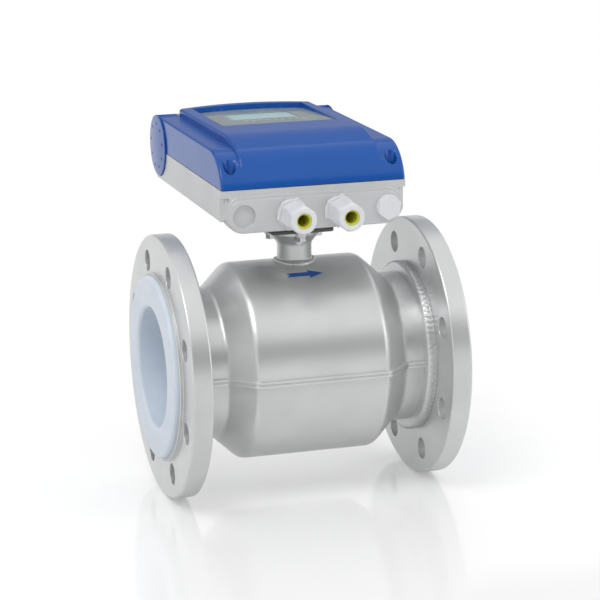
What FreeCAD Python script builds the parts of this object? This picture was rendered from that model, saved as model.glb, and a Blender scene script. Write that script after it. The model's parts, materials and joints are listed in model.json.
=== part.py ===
"""Electromagnetic flow meter, nominal bore 100 mm, as a parametric FreeCAD document.

The meter is a lined measuring tube between two bolting flanges, wrapped in a pressed
two-part housing that holds the field coils, with a signal converter on a short neck.
The origin is the middle of the measuring bore. +X is the flow direction, -Y is the side
of the cable entries and +Z points from the pipe to the converter. Lengths are millimetres.
"""
import FreeCAD, Part
import math
import os
import re

import Sketcher

# --------------------------------------------------------------------------- sizes
SIZES = {
    # measuring tube, liner and flanges
    "bore_radius": 50.0,
    "liner_wall": 4.0,
    "tube_wall": 3.2,
    "face_to_face": 250.0,
    "liner_lip_thickness": 4.0,
    "liner_lip_rounding": 2.4,
    "bore_entry_rounding": 3.0,
    "raised_face_border": 3.0,
    "raised_face_height": 3.0,
    "flange_radius": 110.0,
    "flange_thickness": 17.0,
    "flange_rim_chamfer": 1.2,
    "bolt_circle_inset": 20.0,
    "bolt_hole_radius": 9.0,
    "bolt_hole_to_face": 2.0,
    "bolt_count": 8,
    "weld_bead_height": 8.0,
    "weld_bead_width": 8.0,
    "weld_bead_rounding": 6.0,
    # pressed coil housing
    "housing_radius": 82.5,
    "housing_half_length": 55.5,
    "housing_corner_rounding": 9.0,
    "housing_to_tube": 6.3,
    "cone_length": 20.5,
    "cone_foot_rounding": 6.0,
    "shell_wall": 2.0,
    "seam_lip_height": 2.7,
    "seam_lip_reach": 3.0,
    "seam_groove_depth": 1.0,
    "seam_groove_height": 0.5,
    # magnet system and electrodes
    "core_radius": 8.0,
    "core_to_tube": 3.0,
    "pole_half_length": 28.0,
    "pole_angle": 76.0,
    "yoke_half_width": 8.0,
    "yoke_wall": 2.0,
    "yoke_gap": 0.3,
    "coil_radius": 25.0,
    "coil_gap": 0.4,
    "electrode_radius": 3.0,
    "electrode_head_radius": 5.0,
    "electrode_head_height": 1.4,
    "electrode_recess": 0.3,
    "electrode_length": 14.0,
    "bush_radius": 6.0,
    "bush_flange_radius": 8.5,
    "bush_flange_height": 2.2,
    "electrode_nut_flats": 8.0,
    "electrode_nut_height": 3.0,
    # neck between housing and converter
    "neck_radius": 14.5,
    "neck_bore_radius": 11.5,
    "neck_weld_width": 3.1,
    "neck_weld_height": 2.2,
    "neck_height": 27.5,
    "neck_flare_drop": 12.0,
    "neck_collar_height": 3.5,
    "neck_head_radius": 21.5,
    "neck_lug_radius": 5.6,
    "neck_lug_height": 4.0,
    "neck_spot_radius": 5.2,
    "neck_screw_circle": 20.0,
    "neck_screw_radius": 2.5,
    "neck_screw_flats": 8.0,
    "neck_screw_head": 4.0,
    "neck_screw_length": 17.0,
    "neck_gasket_half_width": 27.0,
    "neck_gasket_thickness": 2.5,
    "neck_gasket_rounding": 4.0,
    # converter case
    "case_half_width": 78.0,
    "case_front": 57.3,
    "case_wall": 4.0,
    "socket_height": 17.5,
    "case_depth": 26.5,
    "case_floor_thickness": 3.0,
    "case_toe_rounding": 6.0,
    "case_corner_rounding": 7.0,
    "case_rim_height": 6.0,
    "case_foot_depth": 1.5,
    "case_foot_front": 12.0,
    "case_foot_margin": 1.0,
    "split_gap": 0.5,
    "cavity_to_barrel": 4.5,
    "cavity_rounding": 5.0,
    "cradle_overrun": 8.0,
    "cradle_rise": 12.0,
    "socket_half_width": 25.0,
    "hinge_back": 147.0,
    "hinge_rise": 3.0,
    "barrel_crown": 1.0,
    "barrel_gap": 0.3,
    "barrel_wall": 4.0,
    "knuckle_length": 18.0,
    "hinge_pin_radius": 4.0,
    "hinge_pin_gap": 0.05,
    "hinge_pin_depth": 9.0,
    "hinge_pin_set_back": 3.0,
    "pin_boss_length": 11.0,
    "cap_rim_thickness": 1.4,
    "cap_dome_height": 1.2,
    "cap_hole_inset": 7.3,
    "cap_hole_radius": 1.3,
    "cap_hole_count": 9,
    # cable entries
    "entry_rise": 4.7,
    "entry_margin": 18.0,
    "entry_hole_radius": 10.0,
    "pad_end_radius": 13.8,
    "pad_reach": 3.0,
    "pad_rounding": 1.0,
    "block_reach": 1.5,
    "block_margin": 1.4,
    "block_rise": 1.2,
    "block_set_back": 13.0,
    "sump_wall": 3.3,
    "sump_depth": 7.0,
    "knockout_radius": 9.3,
    "knockout_depth": 3.6,
    "gland_flats": 24.0,
    "left_gland_turn": 13.0,
    "right_gland_turn": 21.0,
    "gland_nut_turn": 24.0,
    "gland_washer_radius": 12.6,
    "gland_washer_height": 0.8,
    "gland_hex_height": 3.4,
    "gland_shank_length": 8.0,
    "gland_sleeve_radius": 9.2,
    "gland_sleeve_end": 24.0,
    "gland_length": 33.0,
    "gland_nut_flats": 21.8,
    "gland_nut_gap": 1.0,
    "gland_nut_hex_end": 24.0,
    "gland_nut_nose_radius": 10.4,
    "gland_nut_rounding": 3.0,
    "gland_running_gap": 0.08,
    "seal_outer_radius": 6.3,
    "seal_bore_radius": 4.9,
    "seal_mouth_radius": 5.6,
    "seal_recess": 0.5,
    "plug_offset": 2.0,
    "plug_flats": 18.4,
    "plug_turn": 22.5,
    "plug_collar_radius": 10.4,
    "plug_collar_height": 0.8,
    "plug_head_height": 4.4,
    "plug_shank_length": 7.5,
    # cover
    "cover_wall": 3.0,
    "cover_overhang": 0.7,
    "cover_lean": 8.5,
    "cover_front_rounding": 37.0,
    "shoulder_rise": 28.5,
    "cover_edge_rounding": 2.2,
    "shoulder_width": 18.0,
    "dome_rise": 7.5,
    "dome_break": 8.0,
    "dome_break_rounding": 90.0,
    "dome_brow": 43.0,
    "dome_brow_drop": 9.0,
    "dome_brow_rounding": 26.0,
    "dome_toe_inset": 3.5,
    "dome_toe_rise": 8.5,
    "dome_overrun": -4.0,
    "dome_back_bow": 8.0,
    "dome_edge_rounding": 2.4,
    "dome_border": 10.0,
    "window_front": 38.0,
    "window_to_hinge": 6.0,
    "window_depth": 4.0,
    "pane_thickness": 2.5,
    "pane_gap": 0.2,
    "pane_ledge": 4.0,
    "pane_ledge_thickness": 1.6,
    "cover_screw_inset": 9.5,
    "cover_screw_set_back": 9.3,
    "cover_screw_recess_radius": 5.0,
    "cover_screw_seat_rise": 6.5,
    "cover_screw_boss_radius": 7.5,
    "cover_screw_radius": 2.5,
    "cover_screw_gap": 0.08,
    "cover_screw_thread_gap": 0.3,
    "cover_screw_head_radius": 4.2,
    "cover_screw_head_height": 3.6,
    "cover_screw_slot": 1.2,
    "cover_screw_length": 12.0,
    "cover_gasket_width": 1.6,
    "cover_gasket_depth": 1.5,
    # electronics
    "standoff_height": 4.0,
    "board_thickness": 1.6,
    "board_side_gap": 8.0,
    "board_front_gap": 15.3,
    "board_back_gap": 8.0,
    "standoff_radius": 3.5,
    "standoff_inset": 5.0,
    "board_screw_radius": 1.5,
    "board_screw_head_radius": 2.8,
    "board_screw_head_height": 1.8,
    "board_screw_length": 3.4,
    "terminal_front": 34.0,
    "terminal_depth": 14.0,
    "terminal_height": 12.0,
    "terminal_end_gap": 0.2,
    "terminal_count": 8,
    "terminal_wire_radius": 2.0,
    "terminal_wire_depth": 8.0,
    "terminal_screw_radius": 2.2,
    "terminal_screw_depth": 1.5,
    "terminal_gap": 4.0,
    "display_front": 30.0,
    "display_back_gap": 1.5,
    "display_top_gap": 1.4,
    "display_wall": 2.5,
    "display_rounding": 4.0,
    "lcd_half_width": 28.5,
    "lcd_depth": 35.0,
    "lcd_inset": 3.5,
    "lcd_thickness": 1.6,
    "lcd_pocket": 1.4,
    "key_row": 62.0,
    "key_pitch": 14.0,
    "key_radius": 4.2,
    "key_gap": 0.3,
    "key_proud": 1.4,
    "key_flange": 1.0,
    "key_flange_height": 1.2,
}

# Places that follow from the sizes above. Each text is a formula of the cells.
PLACES = {
    "half_length": "face_to_face / 2",
    "liner_outer": "bore_radius + liner_wall",
    "tube_radius": "liner_outer + tube_wall",
    "bolt_circle_radius": "flange_radius - bolt_circle_inset",
    "raised_face_radius": "bolt_circle_radius - bolt_hole_radius - bolt_hole_to_face",
    "liner_lip_radius": "raised_face_radius - raised_face_border",
    "raised_face": "half_length - liner_lip_thickness",
    "flange_front": "raised_face - raised_face_height",
    "flange_back": "flange_front - flange_thickness",
    "housing_neck_radius": "tube_radius + housing_to_tube",
    "weld_bead_radius": "housing_neck_radius + weld_bead_height",
    "weld_bead_back": "flange_back - weld_bead_width",
    "cone_end": "housing_half_length + cone_length",
    "cone_rise": "housing_radius - housing_neck_radius",
    "cone_shift": "shell_wall * (sqrt(cone_length^2 + cone_rise^2) - cone_length) / cone_rise",
    "yoke_outer": "housing_radius - shell_wall - yoke_gap",
    "yoke_inner": "yoke_outer - yoke_wall",
    "core_top": "sqrt(yoke_inner^2 - core_radius^2)",
    "core_foot": "tube_radius + core_to_tube",
    "coil_foot": "core_foot + coil_gap",
    "coil_top": "sqrt(yoke_inner^2 - coil_radius^2) - coil_gap",
    "electrode_inner": "bore_radius + electrode_recess",
    "electrode_shoulder": "electrode_inner + electrode_head_height",
    "bush_outer": "tube_radius + bush_flange_height",
    "neck_top": "housing_radius + neck_height",
    "neck_flare_start": "neck_top - neck_flare_drop",
    "neck_flare_end": "neck_top - neck_collar_height",
    "neck_plate_top": "neck_top + neck_gasket_thickness",
    "case_floor_height": "neck_plate_top + socket_height",
    "floor_top": "case_floor_height + case_floor_thickness",
    "split_height": "case_floor_height + case_depth",
    "case_top": "split_height - split_gap",
    "case_rim_foot": "case_top - case_rim_height",
    "cavity_half_width": "case_half_width - case_wall",
    "cavity_front": "case_front - case_wall",
    "hinge_height": "split_height + hinge_rise",
    "barrel_radius": "shoulder_rise - hinge_rise + barrel_crown",
    "cradle_radius": "barrel_radius + barrel_gap",
    "cradle_back": "hinge_back + cradle_overrun",
    "cavity_back": "hinge_back - barrel_radius - cavity_to_barrel",
    "case_foot_back": "cavity_back + case_foot_margin",
    "knuckle_start": "case_half_width - knuckle_length",
    "base_knuckle_end": "knuckle_start - barrel_gap",
    "hinge_pin_start": "knuckle_start - hinge_pin_depth",
    "hinge_pin_end": "case_half_width - hinge_pin_set_back",
    "cap_hole_circle": "barrel_radius - cap_hole_inset",
    "entry_height": "case_floor_height + entry_rise",
    "pad_half_length": "case_half_width - entry_margin",
    "entry_pitch": "pad_half_length / 1.5",
    "pad_face": "case_front + pad_reach",
    "plug_across": "1.5 * entry_pitch + plug_offset",
    "block_face": "case_front + block_reach",
    "block_back": "case_front - block_set_back",
    "block_radius": "pad_end_radius + block_margin",
    "sump_radius": "pad_end_radius + block_margin - case_wall",
    "sump_front": "case_front - sump_wall",
    "sump_back": "sump_front - sump_depth",
    "cover_front": "case_front + cover_overhang",
    "cover_front_corner": "cover_front - cover_lean",
    "shoulder_height": "split_height + shoulder_rise",
    "dome_half_width": "case_half_width - shoulder_width",
    "dome_height": "shoulder_height + dome_rise",
    "dome_brow_height": "dome_height - dome_brow_drop",
    "dome_toe": "cover_front - dome_toe_inset",
    "dome_toe_height": "split_height + dome_toe_rise",
    "dome_back": "hinge_back + dome_overrun",
    "window_half_width": "dome_half_width - dome_border",
    "window_back": "hinge_back - window_to_hinge",
    "pane_slope": "window_depth / (window_back - window_front)",
    "cover_screw_across": "case_half_width - cover_screw_inset",
    "cover_screw_front": "case_front - cover_screw_set_back",
    "cover_screw_recess_floor": "split_height + cover_screw_seat_rise",
    "cover_inner_top": "shoulder_height - cover_wall",
    "cover_inner_half_width": "case_half_width - cover_wall",
    "cover_inner_front": "cover_front - cover_wall",
    "dome_inner_top": "dome_height - window_depth - pane_thickness - pane_ledge_thickness",
    "dome_inner_half_width": "dome_half_width - cover_wall - pane_gap",
    "dome_inner_rise": "dome_inner_top - hinge_height",
    "dome_inner_back": "hinge_back - sqrt((cradle_radius + cover_wall)^2 - dome_inner_rise^2)",
    "shoulder_back": "hinge_back - sqrt(cradle_radius^2 - (shoulder_height - hinge_height)^2)",
    "split_back": "hinge_back - sqrt(cradle_radius^2 - (hinge_height - split_height)^2)",
    "cover_inner_back": "split_back - cover_wall",
    "board_height": "floor_top + standoff_height",
    "board_top": "board_height + board_thickness",
    "board_half_width": "cavity_half_width - board_side_gap",
    "board_front": "cavity_front - board_front_gap",
    "board_back": "cavity_back - board_back_gap",
    "standoff_across": "board_half_width - standoff_inset",
    "standoff_front": "board_front - standoff_inset",
    "standoff_back": "board_back - standoff_inset",
    "terminal_row": "standoff_across - board_screw_head_radius - terminal_end_gap",
    "terminal_pitch": "(terminal_row - terminal_gap / 2) / terminal_count",
    "display_half_width": "window_half_width",
    "display_back": "cavity_back - display_back_gap",
    "display_top": "dome_inner_top - display_top_gap",
    "lcd_back": "display_back - lcd_inset",
    "lcd_front": "lcd_back - lcd_depth",
}

document = FreeCAD.newDocument("flow_meter")
sheet = document.addObject("Spreadsheet::Sheet", "sizes")
for row, (alias, size) in enumerate(SIZES.items(), start=1):
    sheet.set(f"A{row}", alias.replace("_", " "))
    sheet.set(f"B{row}", str(size))
    sheet.setAlias(f"B{row}", alias)
document.recompute()

LEFT, RIGHT = -1, 1
NEAR, FAR = -1, 1
sub_parts = []


# ----------------------------------------------------------------- formulas and bodies
def formula(text):
    """Return the expression of the sheet's cells that a text of plain size names means."""
    def swap(match):
        word = match.group(0)
        if word in PLACES:
            return f"({formula(PLACES[word])})"
        return f"sizes.{word}" if word in SIZES else word
    return re.sub(r"[A-Za-z_]\w*", swap, str(text))


def number(text):
    """Work out a formula's present value."""
    return float(sheet.evalExpression(formula(text)))


def origin_feature(body, role):
    """Find one of a body's own origin planes or axes."""
    return next(item for item in body.Origin.OriginFeatures if item.Role == role)


def new_body(label, place=("0", "0", "0"), helper=False):
    """Make an empty body, with its placement bound to three formulas."""
    body = document.addObject("PartDesign::Body", label)
    body.Label = label
    body.AllowCompound = True
    for axis, text in zip("xyz", place):
        body.setExpression(f"Placement.Base.{axis}", formula(text))
    if not helper:
        sub_parts.append(body)
    return body


def new_sketch(body, plane, offset="0"):
    """Add a sketch on an origin plane, moved along the plane's normal."""
    sketch = body.newObject("Sketcher::SketchObject", f"{body.Name}_sketch")
    sketch.AttachmentSupport = [(origin_feature(body, plane), "")]
    sketch.MapMode = "FlatFace"
    sketch.setExpression(".AttachmentOffset.Base.z", formula(offset))
    return sketch


# ----------------------------------------------------------------- sketch geometry
def bind(sketch, kind, *parts):
    """Add a driving constraint whose last part is a formula."""
    *places, text = parts
    index = sketch.addConstraint(Sketcher.Constraint(kind, *places, number(text)))
    sketch.setExpression(f"Constraints[{index}]", formula(text))


def fix_point(sketch, geometry, vertex, across, up):
    """Hold a point at two formulas, measured from the sketch's origin."""
    bind(sketch, "DistanceX", -1, 1, geometry, vertex, across)
    bind(sketch, "DistanceY", -1, 1, geometry, vertex, up)


def add_circle(sketch, across, up, radius):
    """Draw a circle."""
    centre = FreeCAD.Vector(number(across), number(up), 0)
    circle = Part.Circle(centre, FreeCAD.Vector(0, 0, 1), number(radius))
    index = sketch.addGeometry(circle, False)
    fix_point(sketch, index, 3, across, up)
    bind(sketch, "Radius", index, radius)


def add_outline(sketch, corners):
    """Draw a closed outline of straight edges.

    A corner is (across, up), or (across, up, rounding) where an arc tangent to both of
    its edges takes its place.
    """
    count = len(corners)
    points = [FreeCAD.Vector(number(corner[0]), number(corner[1]), 0) for corner in corners]
    entries, exits, arcs = [], [], {}
    for index, corner in enumerate(corners):
        here = points[index]
        if len(corner) == 2:
            entries.append(here)
            exits.append(here)
            continue
        radius = number(corner[2])
        back = (points[index - 1] - here).normalize()
        ahead = (points[(index + 1) % count] - here).normalize()
        half_angle = back.getAngle(ahead) / 2
        reach = radius / math.tan(half_angle)
        middle = here + (back + ahead).normalize() * (radius / math.sin(half_angle))
        entries.append(here + back * reach)
        exits.append(here + ahead * reach)
        turns_left = back.cross(ahead).z < 0
        first, last = (entries[-1], exits[-1]) if turns_left else (exits[-1], entries[-1])
        arcs[index] = (middle, radius, first, last, turns_left)
    lines = [
        sketch.addGeometry(Part.LineSegment(exits[i], entries[(i + 1) % count]), False)
        for i in range(count)
    ]
    for index, corner in enumerate(corners):
        arriving, leaving = lines[index - 1], lines[index]
        if index not in arcs:
            sketch.addConstraint(Sketcher.Constraint("Coincident", arriving, 2, leaving, 1))
            fix_point(sketch, leaving, 1, corner[0], corner[1])
            continue
        middle, radius, first, last, turns_left = arcs[index]
        circle = Part.Circle(middle, FreeCAD.Vector(0, 0, 1), radius)
        span = [circle.parameter(first), circle.parameter(last)]
        arc = sketch.addGeometry(Part.ArcOfCircle(circle, *span), False)
        enters, leaves = (1, 2) if turns_left else (2, 1)
        sketch.addConstraint(Sketcher.Constraint("Tangent", arriving, 2, arc, enters))
        sketch.addConstraint(Sketcher.Constraint("Tangent", arc, leaves, leaving, 1))
        bind(sketch, "Radius", arc, corner[2])
        corner_mark = sketch.addGeometry(Part.Point(points[index]), True)
        sketch.addConstraint(Sketcher.Constraint("PointOnObject", corner_mark, 1, arriving))
        sketch.addConstraint(Sketcher.Constraint("PointOnObject", corner_mark, 1, leaving))
        fix_point(sketch, corner_mark, 1, corner[0], corner[1])


def add_rectangle(sketch, left, right, bottom, top, rounding=None):
    """Draw a rectangle, with rounded corners where a rounding is given."""
    corners = [(left, bottom), (right, bottom), (right, top), (left, top)]
    add_outline(sketch, [corner + (rounding,) if rounding else corner for corner in corners])


def add_hexagon(sketch, across, up, flats, turned="0"):
    """Draw a hexagon by its width across flats, turned from having corners left and right."""
    reach = f"({flats}) / 2 / cos(30)"
    turns = [f"({turned}) + {step}" for step in range(0, 360, 60)]
    add_outline(sketch, [
        (f"{across} + {reach} * cos({turn})", f"{up} + {reach} * sin({turn})") for turn in turns
    ])


def add_stadium(sketch, half_length, up, radius):
    """Draw two half circles joined by straight edges, centred across."""
    ends = [FreeCAD.Vector(sign * number(half_length), number(up), 0) for sign in (RIGHT, LEFT)]
    size = number(radius)
    rise = FreeCAD.Vector(0, size, 0)
    normal = FreeCAD.Vector(0, 0, 1)
    right = sketch.addGeometry(
        Part.ArcOfCircle(Part.Circle(ends[0], normal, size), -math.pi / 2, math.pi / 2), False)
    left = sketch.addGeometry(
        Part.ArcOfCircle(Part.Circle(ends[1], normal, size), math.pi / 2, 3 * math.pi / 2), False)
    top = sketch.addGeometry(Part.LineSegment(ends[0] + rise, ends[1] + rise), False)
    bottom = sketch.addGeometry(Part.LineSegment(ends[1] - rise, ends[0] - rise), False)
    for first, first_end, second, second_end in (
        (right, 2, top, 1), (top, 2, left, 1), (left, 2, bottom, 1), (bottom, 2, right, 1)
    ):
        sketch.addConstraint(Sketcher.Constraint("Tangent", first, first_end, second, second_end))
    fix_point(sketch, right, 3, half_length, up)
    bind(sketch, "DistanceX", -1, 1, left, 3, f"-({half_length})")
    bind(sketch, "Radius", right, radius)


def add_bow(sketch, half_width, ends_at, middle_at, far_at):
    """Draw a region with one bowed edge, an arc through its middle, and a straight far side."""
    left = FreeCAD.Vector(-number(half_width), number(ends_at), 0)
    right = FreeCAD.Vector(number(half_width), number(ends_at), 0)
    middle = FreeCAD.Vector(0, number(middle_at), 0)
    far_left = FreeCAD.Vector(left.x, number(far_at), 0)
    far_right = FreeCAD.Vector(right.x, number(far_at), 0)
    bow = sketch.addGeometry(Part.Arc(right, middle, left), False)
    sides = [sketch.addGeometry(Part.LineSegment(first, last), False)
             for first, last in ((left, far_left), (far_left, far_right), (far_right, right))]
    sketch.addConstraint(Sketcher.Constraint("Coincident", bow, 2, sides[0], 1))
    sketch.addConstraint(Sketcher.Constraint("Coincident", sides[0], 2, sides[1], 1))
    sketch.addConstraint(Sketcher.Constraint("Coincident", sides[1], 2, sides[2], 1))
    sketch.addConstraint(Sketcher.Constraint("Coincident", sides[2], 2, bow, 1))
    fix_point(sketch, sides[0], 1, f"-({half_width})", ends_at)
    fix_point(sketch, sides[1], 1, f"-({half_width})", far_at)
    fix_point(sketch, sides[2], 1, half_width, far_at)
    fix_point(sketch, bow, 1, half_width, ends_at)
    crown = sketch.addGeometry(Part.Point(middle), True)
    sketch.addConstraint(Sketcher.Constraint("PointOnObject", crown, 1, bow))
    fix_point(sketch, crown, 1, "0", middle_at)


# ----------------------------------------------------------------- features
def set_side(feature, side, removes):
    """Point a feature along its plane's normal, against it, or to both sides."""
    if side == "both":
        feature.SideType = "Symmetric"
    else:
        feature.SideType = "One side"
        feature.Reversed = (side == "forward") == removes


def finish(body, feature, removes=False):
    """Make a feature the body's tip, and check that it built and did what it is for."""
    before = body.Shape.Volume if removes else 0
    body.Tip = feature
    document.recompute()
    if "Invalid" in feature.State or "Error" in feature.State or body.Shape.isNull():
        raise RuntimeError(f"{feature.Name} of {body.Label} didn't build")
    if removes and not body.Shape.Volume < before - 1e-6:
        raise RuntimeError(f"{feature.Name} of {body.Label} removed nothing")
    return feature


def pad(body, sketch, length, side="forward"):
    """Add the sketch's area, drawn out by a length."""
    feature = body.newObject("PartDesign::Pad", f"{body.Name}_pad")
    feature.Profile = sketch
    set_side(feature, side, removes=False)
    feature.setExpression("Length", formula(length))
    return finish(body, feature)


def cut(body, sketch, length, side="forward"):
    """Remove the sketch's area, drawn out by a length."""
    feature = body.newObject("PartDesign::Pocket", f"{body.Name}_pocket")
    feature.Profile = sketch
    set_side(feature, side, removes=True)
    feature.setExpression("Length", formula(length))
    return finish(body, feature, removes=True)


def spin(body, sketch, axis="H_Axis", angle="360", side="forward"):
    """Add the sketch's area, turned about one of the sketch's axes."""
    feature = body.newObject("PartDesign::Revolution", f"{body.Name}_revolution")
    feature.Profile = sketch
    feature.ReferenceAxis = (sketch, [axis])
    feature.Midplane = side == "both"
    feature.Reversed = side == "backward"
    feature.setExpression("Angle", formula(angle))
    return finish(body, feature)


def spin_cut(body, sketch, axis="H_Axis"):
    """Remove the sketch's area, turned fully about one of the sketch's axes."""
    feature = body.newObject("PartDesign::Groove", f"{body.Name}_groove")
    feature.Profile = sketch
    feature.ReferenceAxis = (sketch, [axis])
    return finish(body, feature, removes=True)


def repeat_round(body, feature, axis, count, removes=False):
    """Repeat a feature evenly round an origin axis."""
    pattern = body.newObject("PartDesign::PolarPattern", f"{body.Name}_polar")
    pattern.Originals = [feature]
    pattern.Axis = (origin_feature(body, axis), [""])
    pattern.Angle = 360
    pattern.setExpression("Occurrences", formula(count))
    return finish(body, pattern, removes)


def repeat_along(body, feature, axis, pitch, count, removes=False):
    """Repeat a feature along an origin axis at a pitch."""
    pattern = body.newObject("PartDesign::LinearPattern", f"{body.Name}_row")
    pattern.Originals = [feature]
    pattern.Direction = (origin_feature(body, axis), [""])
    pattern.setExpression("Occurrences", formula(count))
    pattern.setExpression("Length", formula(f"({pitch}) * ({count} - 1)"))
    return finish(body, pattern, removes)


def mirror(body, features, plane, removes=False):
    """Mirror features in an origin plane."""
    image = body.newObject("PartDesign::Mirrored", f"{body.Name}_mirror")
    image.Originals = features
    image.MirrorPlane = (origin_feature(body, plane), [""])
    return finish(body, image, removes)


def round_edges(body, wanted, radius, kind="PartDesign::Fillet"):
    """Round or chamfer the edges of a body that pass a test."""
    base = body.Tip
    edges = [f"Edge{place}" for place, edge in enumerate(base.Shape.Edges, start=1) if wanted(edge)]
    if not edges:
        raise RuntimeError(f"{body.Label} has no such edge to round")
    feature = body.newObject(kind, f"{body.Name}_edges")
    feature.Base = (base, edges)
    size = "Radius" if kind == "PartDesign::Fillet" else "Size"
    feature.setExpression(size, formula(radius))
    return finish(body, feature)


def boolean(body, tool, kind):
    """Cut another body's solid out of a body, or fuse it on."""
    feature = body.newObject("PartDesign::Boolean", f"{body.Name}_boolean")
    feature.Type = kind
    feature.setObjects([tool])
    return finish(body, feature, removes=kind == "Cut")


def near(value, text):
    """Say whether a coordinate equals a formula's value."""
    return abs(value - number(text)) < 1e-4


# ----------------------------------------------------------------- measuring tube
def make_liner():
    """Moulded liner: a sleeve whose two lips lap over the flanges' raised faces."""
    body = new_body("liner")
    sketch = new_sketch(body, "XZ_Plane")
    add_outline(sketch, [
        ("-half_length", "bore_radius", "bore_entry_rounding"),
        ("half_length", "bore_radius", "bore_entry_rounding"),
        ("half_length", "liner_lip_radius", "liner_lip_rounding"),
        ("raised_face", "liner_lip_radius"),
        ("raised_face", "liner_outer"),
        ("-raised_face", "liner_outer"),
        ("-raised_face", "liner_lip_radius"),
        ("-half_length", "liner_lip_radius", "liner_lip_rounding"),
    ])
    spin(body, sketch)
    recess = new_sketch(body, "XZ_Plane")
    add_circle(recess, "0", "0", "electrode_head_radius")
    cut(body, recess, "2 * electrode_shoulder", side="both")
    hole = new_sketch(body, "XZ_Plane")
    add_circle(hole, "0", "0", "electrode_radius")
    cut(body, hole, "2 * tube_radius", side="both")


def make_measuring_tube():
    """Stainless tube between the raised faces, with a hole at each side for an electrode."""
    body = new_body("measuring_tube")
    sketch = new_sketch(body, "XZ_Plane")
    add_rectangle(sketch, "-raised_face", "raised_face", "liner_outer", "tube_radius")
    spin(body, sketch)
    hole = new_sketch(body, "XZ_Plane")
    add_circle(hole, "0", "0", "bush_radius")
    cut(body, hole, "2 * bush_outer", side="both")


def make_flange(label, side):
    """Bolting flange with its raised face, its bolt holes and the weld bead to the housing."""
    body = new_body(label)
    sketch = new_sketch(body, "XZ_Plane")
    add_outline(sketch, [(f"{side} * ({corner[0]})", *corner[1:]) for corner in (
        ("weld_bead_back", "housing_neck_radius"),
        ("weld_bead_back", "weld_bead_radius", "weld_bead_rounding"),
        ("flange_back", "weld_bead_radius"),
        ("flange_back", "flange_radius - flange_rim_chamfer"),
        ("flange_back + flange_rim_chamfer", "flange_radius"),
        ("flange_front - flange_rim_chamfer", "flange_radius"),
        ("flange_front", "flange_radius - flange_rim_chamfer"),
        ("flange_front", "raised_face_radius"),
        ("raised_face", "raised_face_radius"),
        ("raised_face", "tube_radius"),
        ("flange_back", "tube_radius"),
        ("flange_back", "housing_neck_radius"),
    )])
    spin(body, sketch)
    hole = new_sketch(body, "YZ_Plane")
    half_step = "180 / bolt_count"
    add_circle(hole, f"bolt_circle_radius * cos({half_step})", f"bolt_circle_radius * sin({half_step})",
               "bolt_hole_radius")
    first = cut(body, hole, "face_to_face", side="both")
    repeat_round(body, first, "X_Axis", "bolt_count", removes=True)


def housing_outline(inset, lip):
    """Return the corners of the housing's outer line, inset by a wall or moved out by a lip."""
    shift = f"cone_shift * ({inset}) / shell_wall"
    end = "weld_bead_back" if lip else "flange_back"
    foot = f"cone_foot_rounding + ({inset})"
    shoulder = f"housing_corner_rounding - ({inset})"
    half = [
        (end, f"housing_neck_radius - ({inset})"),
        (f"cone_end - {shift}", f"housing_neck_radius - ({inset})", foot),
        (f"housing_half_length - {shift}", f"housing_radius - ({inset})", shoulder),
    ]
    return half + [(f"-({corner[0]})", *corner[1:]) for corner in reversed(half)]


def make_shell(label, side):
    """Pressed half of the coil housing, with the outward lip of its seam."""
    body = new_body(label)
    sketch = new_sketch(body, "XY_Plane")
    add_outline(sketch, housing_outline("0", False) + housing_outline("shell_wall", False)[::-1])
    spin(body, sketch, angle="180", side=side)
    lip_sketch = new_sketch(body, "XY_Plane")
    inner = housing_outline("shell_wall / 2", True)
    add_outline(lip_sketch, housing_outline("-seam_lip_reach", True) + inner[::-1])
    lip = pad(body, lip_sketch, "seam_lip_height", side=side)
    groove_sketch = new_sketch(body, "XY_Plane")
    bottom = housing_outline("seam_groove_depth - seam_lip_reach", True)
    add_outline(groove_sketch, housing_outline("-seam_lip_reach - 1", True) + bottom[::-1])
    groove = cut(body, groove_sketch, "seam_groove_height", side=side)
    mirror(body, [lip, groove], "XZ_Plane")
    if side == "forward":
        hole = new_sketch(body, "XY_Plane")
        add_circle(hole, "0", "0", "neck_bore_radius")
        cut(body, hole, "housing_radius", side="forward")


# ----------------------------------------------------------------- magnet system, electrodes
def make_core(label, side):
    """Pole piece: a shoe curved round the tube and the round core that carries the coil."""
    body = new_body(label)
    shoe = new_sketch(body, "XZ_Plane")
    low, high = f"{side} * tube_radius", f"{side} * core_foot"
    add_rectangle(shoe, "-pole_half_length", "pole_half_length", low, high)
    spin(body, shoe, angle="pole_angle", side="both")
    core = new_sketch(body, "XY_Plane", f"{side} * (core_foot - core_to_tube / 2)")
    add_circle(core, "0", "0", "core_radius")
    pad(body, core, "core_top - core_foot + core_to_tube / 2", "forward" if side == 1 else "backward")


def make_coil(label, side):
    """Field coil, wound round its core."""
    body = new_body(label)
    sketch = new_sketch(body, "XZ_Plane")
    low, high = f"{side} * coil_foot", f"{side} * coil_top"
    add_rectangle(sketch, "core_radius + coil_gap", "coil_radius", low, high)
    spin(body, sketch, axis="V_Axis")


def make_return_yoke():
    """Strip bent round the inside of the housing that joins the two cores."""
    body = new_body("return_yoke")
    sketch = new_sketch(body, "XZ_Plane")
    add_rectangle(sketch, "-yoke_half_width", "yoke_half_width", "yoke_inner", "yoke_outer")
    spin(body, sketch)


def make_electrode(label, side):
    """Measuring electrode: a flat head in the liner and a stud through the tube."""
    body = new_body(label)
    sketch = new_sketch(body, "YZ_Plane")
    end = "electrode_shoulder + electrode_length"
    add_outline(sketch, [(f"{side} * ({across})", up) for across, up in (
        ("electrode_inner", "0"),
        ("electrode_inner", "electrode_head_radius"),
        ("electrode_shoulder", "electrode_head_radius"),
        ("electrode_shoulder", "electrode_radius"),
        (end, "electrode_radius"),
        (end, "0"),
    )])
    spin(body, sketch)


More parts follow.
